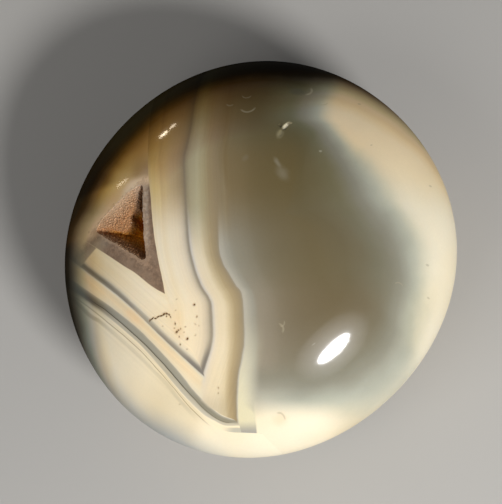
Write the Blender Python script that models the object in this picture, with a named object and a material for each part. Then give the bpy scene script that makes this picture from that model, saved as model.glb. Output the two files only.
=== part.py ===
"""A palm stone of banded agate with one natural hollow (a vug) lined with quartz crystals.

The stone is a flattened pebble, ground and polished all over: a dome above its widest line,
the girdle, and a rounder belly below it that ends in a small flat foot. The vug is an open
three-cornered pocket in the dome's west shoulder. A crust of six-sided quartz points lines it,
cut off level with the dome where the stone was polished.

+Z is up. The stone stands on its foot at z = 0, and its outline is centred on the Z axis.
"""
import math
import random

import bmesh
import bpy
from mathutils import Matrix, Vector

MM = 0.001

# The stone's driving sizes, in millimetres
GIRDLE_RADIUS = 30.3
DOME_HEIGHT = 18.0
BELLY_DEPTH = 16.0
FOOT_RADIUS = 9.0

# A hand-ground outline is not a true circle. Each swell is its number of lobes, its height
# as a share of the girdle radius, and the direction of its first lobe in radians.
OUTLINE_SWELLS = ((2, 0.0161, 1.37), (3, 0.0044, 0.0), (4, 0.0055, -0.1))

OUTLINE_STEPS = 72
DOME_RINGS = 14
BELLY_RINGS = 12

# The vug's mouth: its three corners in plan, in millimetres from the middle of the outline
VUG_WEST = (-23.9, 2.9)
VUG_SOUTH = (-12.7, -6.0)
VUG_NORTH = (-13.3, 7.7)
VUG_CORNER_RADIUS = 0.8
VUG_LEAST_CORNER_RADIUS = 0.25
VUG_DEPTH = 7.0
VUG_ARC_STEPS = 4
VUG_SIDE_STEPS = 6
VUG_RINGS = 7
# 2 would make the pocket's section an ellipse, and more makes its walls steeper
VUG_SQUARENESS = 2.6
# The cutters stand this far above the dome
OVERSHOOT = 3.0

# The crust of crystals
GAP = 0.3
CRUST_THICKNESS = 0.6

# The quartz points stand in rows round the crust's inner wall. The first row's height is a share
# of the way from the mouth to the second row.
POINT_ROWS = 6
FIRST_ROW = 0.1
POINT_SPACING = 1.1
LEAST_POINTS_IN_ROW = 3
POINT_SIDES = 6
POINT_RADIUS = (0.36, 0.6)
POINT_SHAFT = (0.1, 0.45)
POINT_TIP_RATIO = 1.25
POINT_ROOT = 0.32
POINT_LEAN = 0.32
POINT_SEED = 11

# Small steps, in millimetres and in radians, over which the slope of a surface is measured
SLOPE_STEP = 0.1
SLOPE_TURN = 0.05


def clear_scene():
    """Start from an empty scene."""
    for thing in list(bpy.data.objects):
        bpy.data.objects.remove(thing, do_unlink=True)


def make_material(name, colour, roughness):
    """A plain surface of one colour."""
    material = bpy.data.materials.new(name)
    material.use_nodes = True
    shader = material.node_tree.nodes["Principled BSDF"]
    shader.inputs["Base Color"].default_value = (*colour, 1.0)
    shader.inputs["Roughness"].default_value = roughness
    shader.inputs["Metallic"].default_value = 0.0
    return material


def outline_radius(angle):
    """The girdle's radius in one direction, in millimetres."""
    swells = sum(share * math.cos(lobes * (angle - turn)) for lobes, share, turn in OUTLINE_SWELLS)
    return GIRDLE_RADIUS * (1.0 + swells)


def outline_middle():
    """The middle of the outline's bounding box, which the finished stone has on the Z axis."""
    angles = [2.0 * math.pi * step / OUTLINE_STEPS for step in range(OUTLINE_STEPS)]
    xs = [outline_radius(angle) * math.cos(angle) for angle in angles]
    ys = [outline_radius(angle) * math.sin(angle) for angle in angles]
    return Vector(((min(xs) + max(xs)) / 2.0, (min(ys) + max(ys)) / 2.0, 0.0))


MIDDLE = outline_middle()


def dome_point(x, y):
    """The point of the dome above a place in plan."""
    reach = math.hypot(x, y) / outline_radius(math.atan2(y, x))
    return Vector((x, y, BELLY_DEPTH + DOME_HEIGHT * math.sqrt(1.0 - reach * reach)))


def dome_normal(x, y):
    """The outward direction of the dome above a place in plan."""
    along_x = dome_point(x + SLOPE_STEP, y) - dome_point(x - SLOPE_STEP, y)
    along_y = dome_point(x, y + SLOPE_STEP) - dome_point(x, y - SLOPE_STEP)
    return along_x.cross(along_y).normalized()


def skin_ring(radius_rule, height):
    """One level ring of the skin: the rule turns the girdle's radius into the ring's."""
    ring = []
    for step in range(OUTLINE_STEPS):
        angle = 2.0 * math.pi * step / OUTLINE_STEPS
        radius = radius_rule(outline_radius(angle))
        ring.append(Vector((radius * math.cos(angle), radius * math.sin(angle), height)))
    return ring


def skin_rings():
    """The skin's rings, from the foot up to the last ring below the top."""
    rings = []
    for step in range(BELLY_RINGS, 0, -1):
        turn = 0.5 * math.pi * step / BELLY_RINGS
        height = BELLY_DEPTH * (1.0 - math.sin(turn))
        rings.append(skin_ring(lambda r: FOOT_RADIUS + (r - FOOT_RADIUS) * math.cos(turn), height))
    for step in range(DOME_RINGS):
        turn = 0.5 * math.pi * step / DOME_RINGS
        height = BELLY_DEPTH + DOME_HEIGHT * math.sin(turn)
        rings.append(skin_ring(lambda r: r * math.cos(turn), height))
    return rings


def loft(name, rings, first_tip=None, last_tip=None):
    """A closed mesh through equal rings, each end capped flat or drawn to a tip."""
    mesh_builder = bmesh.new()
    rows = [[mesh_builder.verts.new((point - MIDDLE) * MM) for point in ring] for ring in rings]
    count = len(rings[0])
    for lower, upper in zip(rows, rows[1:]):
        for step in range(count):
            after = (step + 1) % count
            mesh_builder.faces.new((lower[step], lower[after], upper[after], upper[step]))
    for row, tip in ((rows[0], first_tip), (rows[-1], last_tip)):
        if tip is None:
            mesh_builder.faces.new(row)
            continue
        apex = mesh_builder.verts.new((tip - MIDDLE) * MM)
        for step in range(count):
            mesh_builder.faces.new((row[step], row[(step + 1) % count], apex))
    bmesh.ops.recalc_face_normals(mesh_builder, faces=mesh_builder.faces)
    return finish_mesh(name, mesh_builder)


def finish_mesh(name, mesh_builder):
    """Turn the built mesh into an object of the scene."""
    mesh = bpy.data.meshes.new(name)
    mesh_builder.to_mesh(mesh)
    mesh_builder.free()
    thing = bpy.data.objects.new(name, mesh)
    bpy.context.collection.objects.link(thing)
    return thing


def make_skin(name):
    """The whole pebble, before the vug is cut."""
    top = Vector((0.0, 0.0, BELLY_DEPTH + DOME_HEIGHT))
    return loft(name, skin_rings(), last_tip=top)


def vug_frame():
    """The vug's own axes: its middle on the dome, two directions along the skin and one out."""
    corners = (VUG_WEST, VUG_SOUTH, VUG_NORTH)
    x = sum(corner[0] for corner in corners) / 3.0
    y = sum(corner[1] for corner in corners) / 3.0
    out = dome_normal(x, y)
    along = Vector((1.0, 0.0, 0.0))
    along = (along - out * along.dot(out)).normalized()
    across = out.cross(along)
    return dome_point(x, y), along, across, out


VUG_MIDDLE, VUG_ALONG, VUG_ACROSS, VUG_OUT = vug_frame()


def flat_corners():
    """The mouth's corners on the vug's own two axes along the skin."""
    corners = []
    for corner in (VUG_WEST, VUG_SOUTH, VUG_NORTH):
        offset = dome_point(*corner) - VUG_MIDDLE
        corners.append(Vector((offset.dot(VUG_ALONG), offset.dot(VUG_ACROSS))))
    return corners


def rounded_triangle(inset):
    """The mouth's outline drawn in by inset, with round corners, as points on its two axes."""
    corners = flat_corners()
    radius = max(VUG_CORNER_RADIUS - inset, VUG_LEAST_CORNER_RADIUS)
    draw_in = inset + radius
    points = []
    for index, corner in enumerate(corners):
        before = (corners[index - 1] - corner).normalized()
        after = (corners[(index + 1) % 3] - corner).normalized()
        half_angle = before.angle(after) / 2.0
        centre = corner + (before + after).normalized() * draw_in / math.sin(half_angle)
        start = Vector((before.y, -before.x))
        if start.dot(centre - corner) > 0.0:
            start = -start
        sweep = math.pi - 2.0 * half_angle
        for step in range(VUG_ARC_STEPS + 1):
            turn = Matrix.Rotation(sweep * step / VUG_ARC_STEPS, 2)
            points.append(centre + turn @ start * radius)
    return with_side_points(points)


def with_side_points(points):
    """Add evenly spaced points along the three straight sides."""
    arc_points = VUG_ARC_STEPS + 1
    filled = []
    for index, point in enumerate(points):
        filled.append(point)
        if index % arc_points == arc_points - 1:
            following = points[(index + 1) % len(points)]
            filled += [point.lerp(following, step / VUG_SIDE_STEPS) for step in range(1, VUG_SIDE_STEPS)]
    return filled


def vug_point(flat, height):
    """A place given on the vug's axes, as a point of the stone."""
    return VUG_MIDDLE + VUG_ALONG * flat.x + VUG_ACROSS * flat.y + VUG_OUT * height


def vug_ring(inset, turn):
    """One ring of the pocket's wall: turn runs from 0 at the mouth to 90 degrees at the bottom."""
    power = 2.0 / VUG_SQUARENESS
    narrowing = math.cos(turn) ** power
    depth = (VUG_DEPTH - inset) * math.sin(turn) ** power
    return [vug_point(flat * narrowing, -depth) for flat in rounded_triangle(inset)]


def vug_rings(inset):
    """The pocket's rings from above the dome down to the last ring before the bottom."""
    rings = [[vug_point(flat, OVERSHOOT) for flat in rounded_triangle(inset)]]
    for step in range(VUG_RINGS):
        rings.append(vug_ring(inset, 0.5 * math.pi * step / VUG_RINGS))
    return rings


def vug_bottom(inset):
    """The pocket's lowest point."""
    return vug_point(Vector((0.0, 0.0)), -(VUG_DEPTH - inset))


def make_vug_cutter():
    """The solid that is cut out of the stone."""
    return loft("vug_cutter", vug_rings(0.0), last_tip=vug_bottom(0.0))


def make_crust_blank():
    """A cup that lines the pocket, still standing above the dome."""
    inner = vug_rings(GAP + CRUST_THICKNESS)
    outer = vug_rings(GAP)
    rings = list(reversed(inner)) + outer
    bottoms = (vug_bottom(GAP + CRUST_THICKNESS), vug_bottom(GAP))
    return loft("crystal_crust", rings, first_tip=bottoms[0], last_tip=bottoms[1])


def point_places():
    """Where the quartz points stand on the crust's inner wall, each with its inward direction."""
    inset = GAP + CRUST_THICKNESS
    places = []
    for row in range(POINT_ROWS):
        turn = 0.5 * math.pi * (row + FIRST_ROW) / POINT_ROWS
        ring = vug_ring(inset, turn)
        lower = vug_ring(inset, turn + SLOPE_TURN)
        length = sum((ring[step] - ring[step - 1]).length for step in range(len(ring)))
        count = max(int(length / POINT_SPACING), LEAST_POINTS_IN_ROW)
        for index in range(count):
            step = int((index + 0.5 * (row % 2)) / count * len(ring)) % len(ring)
            around = ring[(step + 1) % len(ring)] - ring[step - 1]
            down = lower[step] - ring[step]
            inward = down.cross(around).normalized()
            if inward.dot(vug_bottom(inset) + VUG_OUT * VUG_DEPTH - ring[step]) < 0.0:
                inward = -inward
            places.append((ring[step], inward))
    places.append((vug_bottom(inset), VUG_OUT))
    return places


def add_quartz_point(mesh_builder, place, direction, radius, shaft):
    """One six-sided quartz point: a short shaft and a six-faced tip."""
    turn = direction.to_track_quat("Z", "Y").to_matrix().to_4x4()
    turn.translation = place - MIDDLE
    root, shoulder = [], []
    for row, height in ((root, -POINT_ROOT), (shoulder, shaft)):
        for side in range(POINT_SIDES):
            angle = 2.0 * math.pi * side / POINT_SIDES
            corner = Vector((radius * math.cos(angle), radius * math.sin(angle), height))
            row.append(mesh_builder.verts.new(turn @ corner * MM))
    tip = Vector((0.0, 0.0, shaft + radius * POINT_TIP_RATIO))
    apex = mesh_builder.verts.new(turn @ tip * MM)
    mesh_builder.faces.new(list(reversed(root)))
    for side in range(POINT_SIDES):
        after = (side + 1) % POINT_SIDES
        mesh_builder.faces.new((root[side], root[after], shoulder[after], shoulder[side]))
        mesh_builder.faces.new((shoulder[side], shoulder[after], apex))


def make_quartz_points():
    """All the quartz points of the crust, leaning this way and that."""
    dice = random.Random(POINT_SEED)
    mesh_builder = bmesh.new()
    for place, inward in point_places():
        lean = Vector([dice.uniform(-POINT_LEAN, POINT_LEAN) for _ in range(3)])
        direction = (inward + lean).normalized()
        radius = dice.uniform(*POINT_RADIUS)
        shaft = dice.uniform(*POINT_SHAFT)
        add_quartz_point(mesh_builder, place, direction, radius, shaft)
    return finish_mesh("quartz_points", mesh_builder)


def as_guide(thing):
    """Mark an object as a cutter or a guide, which is not part of the stone."""
    thing.hide_render = True
    thing.display_type = "WIRE"
    return thing


def combine(thing, other, operation, overlapping=False):
    """Give an object a Boolean modifier."""
    modifier = thing.modifiers.new(operation.lower(), "BOOLEAN")
    modifier.operation = operation
    modifier.solver = "EXACT"
    modifier.use_self = overlapping
    modifier.object = other


def make_stone():
    """The polished pebble with its pocket."""
    stone = make_skin("agate_stone")
    stone.data.shade_smooth()
    stone.data.materials.append(make_material("polished_agate", (0.62, 0.54, 0.40), 0.12))
    combine(stone, as_guide(make_vug_cutter()), "DIFFERENCE")
    return stone


def make_crust():
    """The crust of quartz points, cut level with the dome."""
    crust = make_crust_blank()
    crust.data.materials.append(make_material("quartz_druse", (0.40, 0.25, 0.14), 0.45))
    combine(crust, as_guide(make_quartz_points()), "UNION", overlapping=True)
    combine(crust, as_guide(make_skin("polished_level")), "INTERSECT")
    return crust


clear_scene()
make_stone()
make_crust()
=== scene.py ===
# %% [markdown]
# A palm stone of orca agate, about 60 mm across, lies on a pale floor. The stone is one polished
# piece with one natural hollow, a vug, lined with small quartz crystals. The solids of both are
# already made and packed. This lesson dresses them: a dense, evenly curved skin in place of the
# faceted one, a real crust of tiny crystals, and the bands, clouds and stains of the agate as a
# pattern that runs through the whole stone, so that it looks right from every side.

# %% Load the frame
import math
import random

import bmesh
import bpy
from mathutils import Matrix, Vector


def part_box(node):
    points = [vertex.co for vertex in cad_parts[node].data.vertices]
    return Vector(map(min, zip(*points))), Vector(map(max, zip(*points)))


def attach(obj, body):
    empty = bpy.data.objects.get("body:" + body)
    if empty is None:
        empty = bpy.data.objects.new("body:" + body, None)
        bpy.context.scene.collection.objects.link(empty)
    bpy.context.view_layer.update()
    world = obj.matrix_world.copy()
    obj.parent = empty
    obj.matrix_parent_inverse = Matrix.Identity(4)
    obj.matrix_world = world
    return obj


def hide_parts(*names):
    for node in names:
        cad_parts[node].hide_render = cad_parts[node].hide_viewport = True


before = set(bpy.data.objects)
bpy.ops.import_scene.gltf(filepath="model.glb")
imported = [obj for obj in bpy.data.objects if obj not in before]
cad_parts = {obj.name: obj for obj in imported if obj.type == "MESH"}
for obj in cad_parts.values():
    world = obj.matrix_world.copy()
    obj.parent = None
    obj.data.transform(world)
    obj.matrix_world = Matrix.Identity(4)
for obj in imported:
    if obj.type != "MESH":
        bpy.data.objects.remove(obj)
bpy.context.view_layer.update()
STONE_NODE = "agate_stone"
CRUST_NODE = "crystal_crust"
MM = 0.001
print("solids in the frame:", sorted(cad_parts))

# %% [markdown]
# The stone's skin follows one rule, so a few sizes drive it. The heights and the width come from
# the solid's own box. The outline is nearly a circle with three slight swells, as hand grinding
# leaves it: each swell is a number of lobes, a share of the radius and the turn of its first lobe.

# %% Driving sizes, in millimetres
STONE_LOW, STONE_HIGH = (Vector(corner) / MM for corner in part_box(STONE_NODE))
BELLY_DEPTH = 16.0
DOME_HEIGHT = STONE_HIGH.z - BELLY_DEPTH
FOOT_RADIUS = 9.0
GIRDLE_RADIUS = 30.3
OUTLINE_SWELLS = ((2, 0.0161, 1.37), (3, 0.0044, 0.0), (4, 0.0055, -0.1))
# The outline's own middle lies this far from the Z axis, so that its box is centred on it
OUTLINE_SHIFT = 0.133
print("stone box in mm:", [round(value, 2) for value in (*STONE_LOW, *STONE_HIGH)])


def outline_radius(angle):
    """The girdle's radius in one direction."""
    swells = sum(share * math.cos(lobes * (angle - turn)) for lobes, share, turn in OUTLINE_SWELLS)
    return GIRDLE_RADIUS * (1.0 + swells)


def dome_height(x, y):
    """The height of the dome's skin above a place in plan."""
    x = x + OUTLINE_SHIFT
    reach = math.hypot(x, y) / outline_radius(math.atan2(y, x))
    return BELLY_DEPTH + DOME_HEIGHT * math.sqrt(max(1.0 - reach * reach, 0.0))


def turned(x, y, degrees):
    """Two numbers or wires as seen on axes turned by some degrees: along them and across them."""
    cosine, sine = math.cos(math.radians(degrees)), math.sin(math.radians(degrees))
    return x * cosine + y * sine, y * cosine - x * sine


def dome_normal(x, y):
    """The outward direction of the dome above a place in plan."""
    reach = 0.1
    along_x = Vector((2.0 * reach, 0.0, dome_height(x + reach, y) - dome_height(x - reach, y)))
    along_y = Vector((0.0, 2.0 * reach, dome_height(x, y + reach) - dome_height(x, y - reach)))
    return along_x.cross(along_y).normalized()


# %% [markdown]
# Both kinds of node tree, the ones that make shapes and the ones that make colours, need a lot of
# arithmetic. A small class wraps a node's output so that Python's own signs add the Math nodes,
# and one method makes any other node. Then a formula in the script reads like a formula.

# %% A wire and a bench for node trees
class Wire:
    """One number, vector or colour that flows out of a node."""

    def __init__(self, bench, socket):
        self.bench = bench
        self.socket = socket

    def with_math(self, operation, *others, first=None):
        """A Math node on this wire, or on first and this wire."""
        values = (self, *others) if first is None else (first, self)
        sockets = dict(enumerate(values))
        return self.bench.node("ShaderNodeMath", {"operation": operation}, sockets)

    def __add__(self, other):
        return self.with_math("ADD", other)

    def __radd__(self, other):
        return self.with_math("ADD", other)

    def __sub__(self, other):
        return self.with_math("SUBTRACT", other)

    def __rsub__(self, other):
        return self.with_math("SUBTRACT", first=other)

    def __mul__(self, other):
        return self.with_math("MULTIPLY", other)

    def __rmul__(self, other):
        return self.with_math("MULTIPLY", other)

    def __truediv__(self, other):
        return self.with_math("DIVIDE", other)

    def __rtruediv__(self, other):
        return self.with_math("DIVIDE", first=other)

    def __pow__(self, other):
        return self.with_math("POWER", other)

    def __abs__(self):
        return self.with_math("ABSOLUTE")

    def clamped(self):
        """Held between 0 and 1."""
        return self.bench.node("ShaderNodeClamp", sockets={"Value": self})


class Bench:
    """Makes the nodes of one tree."""

    def __init__(self, tree):
        self.tree = tree

    def node(self, kind, settings=None, sockets=None, out=0):
        """Any node: its settings first, then the values or wires of its sockets."""
        made = self.tree.nodes.new(kind)
        for name, value in (settings or {}).items():
            if name == "stops":
                fill_ramp(made.color_ramp, value)
            elif name == "bend":
                fill_curve(made.mapping, value)
            else:
                setattr(made, name, value)
        for name, value in (sockets or {}).items():
            if isinstance(value, Wire):
                self.tree.links.new(value.socket, made.inputs[name])
            else:
                made.inputs[name].default_value = value
        return Wire(self, made.outputs[out])

    def vector(self, operation, *values, out=0):
        """A Vector Math node."""
        sockets = dict(enumerate(values))
        return self.node("ShaderNodeVectorMath", {"operation": operation}, sockets, out)

    def combine(self, x, y, z):
        """A vector from three numbers."""
        return self.node("ShaderNodeCombineXYZ", sockets={"X": x, "Y": y, "Z": z})

    def parts(self, vector):
        """The three numbers of a vector."""
        made = self.node("ShaderNodeSeparateXYZ", sockets={"Vector": vector}).socket.node
        return [Wire(self, made.outputs[axis]) for axis in "XYZ"]

    def mix(self, share, first, second, blend="MIX"):
        """One colour over another."""
        settings = {"data_type": "RGBA", "blend_type": blend, "clamp_factor": True}
        first, second = (end if isinstance(end, Wire) else (*end, 1.0) for end in (first, second))
        return self.node("ShaderNodeMix", settings, {0: share, 6: first, 7: second}, 2)

    def retouch(self, colour, *touches):
        """Several touches over a colour, in turn: each a share, the other colour and how it is laid."""
        for share, other, *blend in touches:
            colour = self.mix(share, colour, other, *blend)
        return colour

    def ramp(self, value, stops):
        """The colour that belongs to a value, between stops that are pairs of a value and a colour."""
        first, last = stops[0][0], stops[-1][0]
        spread = [((place - first) / (last - first), colour) for place, colour in stops]
        return self.node("ShaderNodeValToRGB", {"stops": spread}, {"Fac": (value - first) / (last - first)})

    def scaled(self, colour, factor):
        """A colour made lighter or darker."""
        return self.node("ShaderNodeVectorMath", {"operation": "SCALE"}, {0: colour, "Scale": factor})

    def step(self, value, low, high):
        """0 below low, 1 above high and a soft way between; low may be the larger one."""
        settings = {"interpolation_type": "SMOOTHSTEP", "clamp": True}
        if isinstance(low, Wire) or isinstance(high, Wire) or low < high:
            sockets = {"Value": value, "From Min": low, "From Max": high}
            return self.node("ShaderNodeMapRange", settings, sockets)
        sockets = {"Value": value, "From Min": high, "From Max": low}
        return 1.0 - self.node("ShaderNodeMapRange", settings, sockets)

    def zone(self, *edges):
        """Where several values are all past their soft edges: each is a value, its low and its high."""
        share = self.step(*edges[0])
        for edge in edges[1:]:
            share = share * self.step(*edge)
        return share


def fill_ramp(ramp, stops):
    """Set a colour ramp's stops from (place, colour) pairs."""
    for place, _ in stops[1:-1]:
        ramp.elements.new(place)
    for element, (place, colour) in zip(ramp.elements, stops):
        element.position = place
        element.color = (*colour, 1.0)


def fill_curve(mapping, handle_and_points):
    """Set a Float Curve's points: AUTO_CLAMPED handles make a smooth line, VECTOR ones a bent one."""
    handle, points = handle_and_points
    curve = mapping.curves[0]
    curve.points[0].location = points[0]
    curve.points[-1].location = points[-1]
    for place in points[1:-1]:
        curve.points.new(*place)
    for point in curve.points:
        point.handle_type = handle
    mapping.update()


# %% [markdown]
# The skin is a body that follows a rule, so Geometry Nodes make it: a finely divided cube is
# puffed out to a ball, and each point of the ball is moved to its place on the stone. Starting
# from a cube and not from a globe leaves no pinched pole in the middle of the polished dome.

# %% The skin's tree
SKIN_DIVISIONS = 100
FOOT_SHARE = 0.14


def add_inputs(tree, names_and_values):
    """Give a geometry tree its named inputs."""
    for name, value in names_and_values:
        kind = "NodeSocketInt" if isinstance(value, int) else "NodeSocketFloat"
        tree.interface.new_socket(name, in_out="INPUT", socket_type=kind).default_value = value


def new_geometry_tree(name, names_and_values, with_geometry=False):
    """An empty geometry tree with its inputs, and the bench and input node to build it with."""
    tree = bpy.data.node_groups.new(name, "GeometryNodeTree")
    if with_geometry:
        tree.interface.new_socket("Geometry", in_out="INPUT", socket_type="NodeSocketGeometry")
    add_inputs(tree, names_and_values)
    tree.interface.new_socket("Geometry", in_out="OUTPUT", socket_type="NodeSocketGeometry")
    return tree, Bench(tree), tree.nodes.new("NodeGroupInput")


def end_tree(bench, geometry, material):
    """The tree's last nodes: real mesh in place of instances, its material, and the way out."""
    real = bench.node("GeometryNodeRealizeInstances", sockets={"Geometry": geometry})
    dressed = bench.node("GeometryNodeSetMaterial", sockets={"Geometry": real, "Material": material})
    way_out = bench.tree.nodes.new("NodeGroupOutput")
    bench.tree.links.new(dressed.socket, way_out.inputs["Geometry"])


def outline_wire(bench, angle, radius):
    """The outline's rule as nodes."""
    total = 1.0
    for lobes, share, turn in OUTLINE_SWELLS:
        wave = (angle * lobes - lobes * turn).with_math("COSINE")
        total = wave * share + total
    return radius * total


def skin_tree(material):
    """The whole pebble, before the vug is cut."""
    sizes = (("Girdle radius", GIRDLE_RADIUS), ("Dome height", DOME_HEIGHT), ("Belly depth", BELLY_DEPTH),
             ("Foot radius", FOOT_RADIUS), ("Divisions", SKIN_DIVISIONS))
    tree, bench, inputs = new_geometry_tree("pebble skin", sizes)
    size = {name: Wire(bench, inputs.outputs[name]) for name, _ in sizes}
    cube_sockets = {axis: size["Divisions"] for axis in ("Vertices X", "Vertices Y", "Vertices Z")}
    cube = bench.node("GeometryNodeMeshCube", sockets=cube_sockets)
    place = bench.node("GeometryNodeInputPosition")
    # The tangent evens out the spacing of the cube's rows once they lie on a ball
    evened = [(axis * (math.pi / 2.0)).with_math("TANGENT") for axis in bench.parts(place)]
    ball_x, ball_y, ball_z = bench.parts(bench.vector("NORMALIZE", bench.combine(*evened)))
    angle = ball_y.with_math("ARCTAN2", ball_x)
    outline = outline_wire(bench, angle, size["Girdle radius"])
    level = ball_z.with_math("ARCSINE")
    dome_reach = outline * level.with_math("COSINE")
    dome_level = size["Belly depth"] + size["Dome height"] * ball_z
    under = ((level * -2.0) / math.pi).clamped()
    foot_part = ((under - (1.0 - FOOT_SHARE)) / FOOT_SHARE).clamped()
    turn = (under / (1.0 - FOOT_SHARE)).clamped() * (math.pi / 2.0)
    belly_reach = size["Foot radius"] * (1.0 - foot_part)
    belly_reach = belly_reach + (outline - size["Foot radius"]) * turn.with_math("COSINE")
    belly_level = size["Belly depth"] * (1.0 - turn.with_math("SINE"))
    above = ball_z.with_math("GREATER_THAN", 0.0)
    reach = above * dome_reach + (1.0 - above) * belly_reach
    height = above * dome_level + (1.0 - above) * belly_level
    x = (reach * angle.with_math("COSINE") - OUTLINE_SHIFT) * MM
    y = reach * angle.with_math("SINE") * MM
    moved = bench.node("GeometryNodeSetPosition",
                       sockets={"Geometry": cube, "Position": bench.combine(x, y, height * MM)})
    smooth = bench.node("GeometryNodeSetShadeSmooth", sockets={"Geometry": moved})
    end_tree(bench, smooth, material)
    return tree


def grow(name, tree, base_mesh=None):
    """Run a geometry tree once and keep its result as a plain mesh object."""
    holder = bpy.data.objects.new(name + "_tree", base_mesh or bpy.data.meshes.new(name + "_base"))
    bpy.context.scene.collection.objects.link(holder)
    modifier = holder.modifiers.new("grow", "NODES")
    modifier.node_group = tree
    seen = holder.evaluated_get(bpy.context.evaluated_depsgraph_get())
    mesh = bpy.data.meshes.new_from_object(seen)
    mesh.name = name
    bpy.data.objects.remove(holder, do_unlink=True)
    thing = bpy.data.objects.new(name, mesh)
    bpy.context.scene.collection.objects.link(thing)
    return thing


agate = bpy.data.materials.new("polished_agate")
agate.use_nodes = True
druse = bpy.data.materials.new("quartz_druse")
druse.use_nodes = True

stone = grow("polished_agate_stone", skin_tree(agate))
print("skin:", len(stone.data.polygons), "faces")

# %% [markdown]
# The vug breaks through the polished skin at a three-cornered mouth with a crumbly edge, which
# bulges out on its north-west side. A cutter with that outline is sunk along the skin's own
# direction and taken out of the skin. Its wall narrows downwards like the real pocket. The crust
# of crystals lines it afterwards.

# %% The vug's mouth and pocket
MOUTH_WEST = (-22.2, 1.0)
MOUTH_SOUTH = (-13.1, -5.5)
MOUTH_NORTH = (-14.1, 7.0)
MOUTH_BULGE = 0.40
MOUTH_ROUNDING = 0.5
MOUTH_RAGGED = 0.17
MOUTH_BITES = (7, 11, 17, 29, 43)
MOUTH_SEED = 5
CORNER_STEPS = 8
BULGE_REACH = 2.0
MOUTH_STEPS = 192
MOUTH_REACH = 5.0
POCKET_DEPTH = 6.6
POCKET_RINGS = 12
POCKET_SQUARENESS = 3.0
CUTTER_HEAD = 3.0


def vug_frame():
    """The vug's own axes: its middle on the dome, two directions along the skin and one out."""
    corners = (MOUTH_WEST, MOUTH_SOUTH, MOUTH_NORTH)
    x = sum(corner[0] for corner in corners) / 3.0
    y = sum(corner[1] for corner in corners) / 3.0
    out = dome_normal(x, y)
    along = Vector((1.0, 0.0, 0.0))
    along = (along - out * along.dot(out)).normalized()
    return Vector((x, y, dome_height(x, y))), along, out.cross(along), out


VUG_MIDDLE, VUG_ALONG, VUG_ACROSS, VUG_OUT = vug_frame()


def flat_place(x, y):
    """A place on the dome in the vug's own two directions."""
    offset = Vector((x, y, dome_height(x, y))) - VUG_MIDDLE
    return Vector((offset.dot(VUG_ALONG), offset.dot(VUG_ACROSS)))


def vug_point(flat, height):
    """The opposite way: a place on the vug's axes as a point of the stone."""
    return VUG_MIDDLE + VUG_ALONG * flat.x + VUG_ACROSS * flat.y + VUG_OUT * height


def smooth_ring(corners, rounding, steps):
    """A three-cornered ring with round corners, as evenly spaced points."""
    points = []
    for index, corner in enumerate(corners):
        before = (corners[index - 1] - corner).normalized()
        after = (corners[(index + 1) % 3] - corner).normalized()
        half_angle = before.angle(after) / 2.0
        centre = corner + (before + after).normalized() * rounding / math.sin(half_angle)
        start = Vector((before.y, -before.x))
        if start.dot(centre - corner) > 0.0:
            start = -start
        for turn in range(CORNER_STEPS + 1):
            angle = (math.pi - 2.0 * half_angle) * turn / CORNER_STEPS
            points.append(centre + Matrix.Rotation(angle, 2) @ start * rounding)
    return evenly_spaced(points, steps)


def evenly_spaced(points, steps):
    """A closed line's points, spaced evenly along it."""
    sides = [(point, points[(index + 1) % len(points)]) for index, point in enumerate(points)]
    lengths = [(after - before).length for before, after in sides]
    gap = sum(lengths) / steps
    ring = []
    side = 0
    passed = 0.0
    for step in range(steps):
        while passed + lengths[side] < step * gap:
            passed += lengths[side]
            side += 1
        before, after = sides[side]
        ring.append(before.lerp(after, (step * gap - passed) / lengths[side]))
    return ring


MOUTH_CORNERS = [flat_place(*corner) for corner in (MOUTH_WEST, MOUTH_SOUTH, MOUTH_NORTH)]
NORTH_WEST_SIDE = 2


def side_frame(index):
    """One side of the mouth: its start, its direction and the direction into the mouth."""
    start, end = MOUTH_CORNERS[index], MOUTH_CORNERS[(index + 1) % 3]
    along = (end - start).normalized()
    inward = Vector((-along.y, along.x))
    if inward.dot(MOUTH_CORNERS[(index + 2) % 3] - start) < 0.0:
        inward = -inward
    return start, along, inward


def bulge(ring, amount):
    """Bow the ring's north-west side outwards."""
    start, along, inward = side_frame(NORTH_WEST_SIDE)
    length = (MOUTH_CORNERS[0] - start).length
    bowed = []
    for point in ring:
        share = min(max((point - start).dot(along) / length, 0.0), 1.0)
        closeness = min(max(1.0 - (point - start).dot(inward) / BULGE_REACH, 0.0), 1.0)
        bowed.append(point - inward * amount * math.sin(math.pi * share) * closeness)
    return bowed


def crumble(ring, amount, seed):
    """Push a ring's points in and out, in coarse bites and fine ones."""
    dice = random.Random(seed)
    waves = [(count, dice.uniform(0.0, 2.0 * math.pi), 1.0 / count ** 0.5) for count in MOUTH_BITES]
    crumbled = []
    for step, point in enumerate(ring):
        turn = 2.0 * math.pi * step / len(ring)
        push = sum(size * math.sin(count * turn + start) for count, start, size in waves)
        crumbled.append(point * (1.0 + amount * push / point.length))
    return crumbled


MOUTH_RING = smooth_ring(MOUTH_CORNERS, MOUTH_ROUNDING, MOUTH_STEPS)
MOUTH_RING = crumble(bulge(MOUTH_RING, MOUTH_BULGE), MOUTH_RAGGED, MOUTH_SEED)


def pocket_ring(share, gap=0.0):
    """One ring of the pocket, a gap inside its wall: share runs from 0 at the mouth to 1 at the bottom."""
    turn = share * math.pi / 2.0
    narrowing = max(math.cos(turn), 0.0) ** (2.0 / POCKET_SQUARENESS) * (1.0 - gap / MOUTH_REACH)
    depth = (POCKET_DEPTH - gap) * math.sin(turn) ** (2.0 / POCKET_SQUARENESS)
    return [vug_point(flat * narrowing, -depth) for flat in MOUTH_RING]


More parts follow.
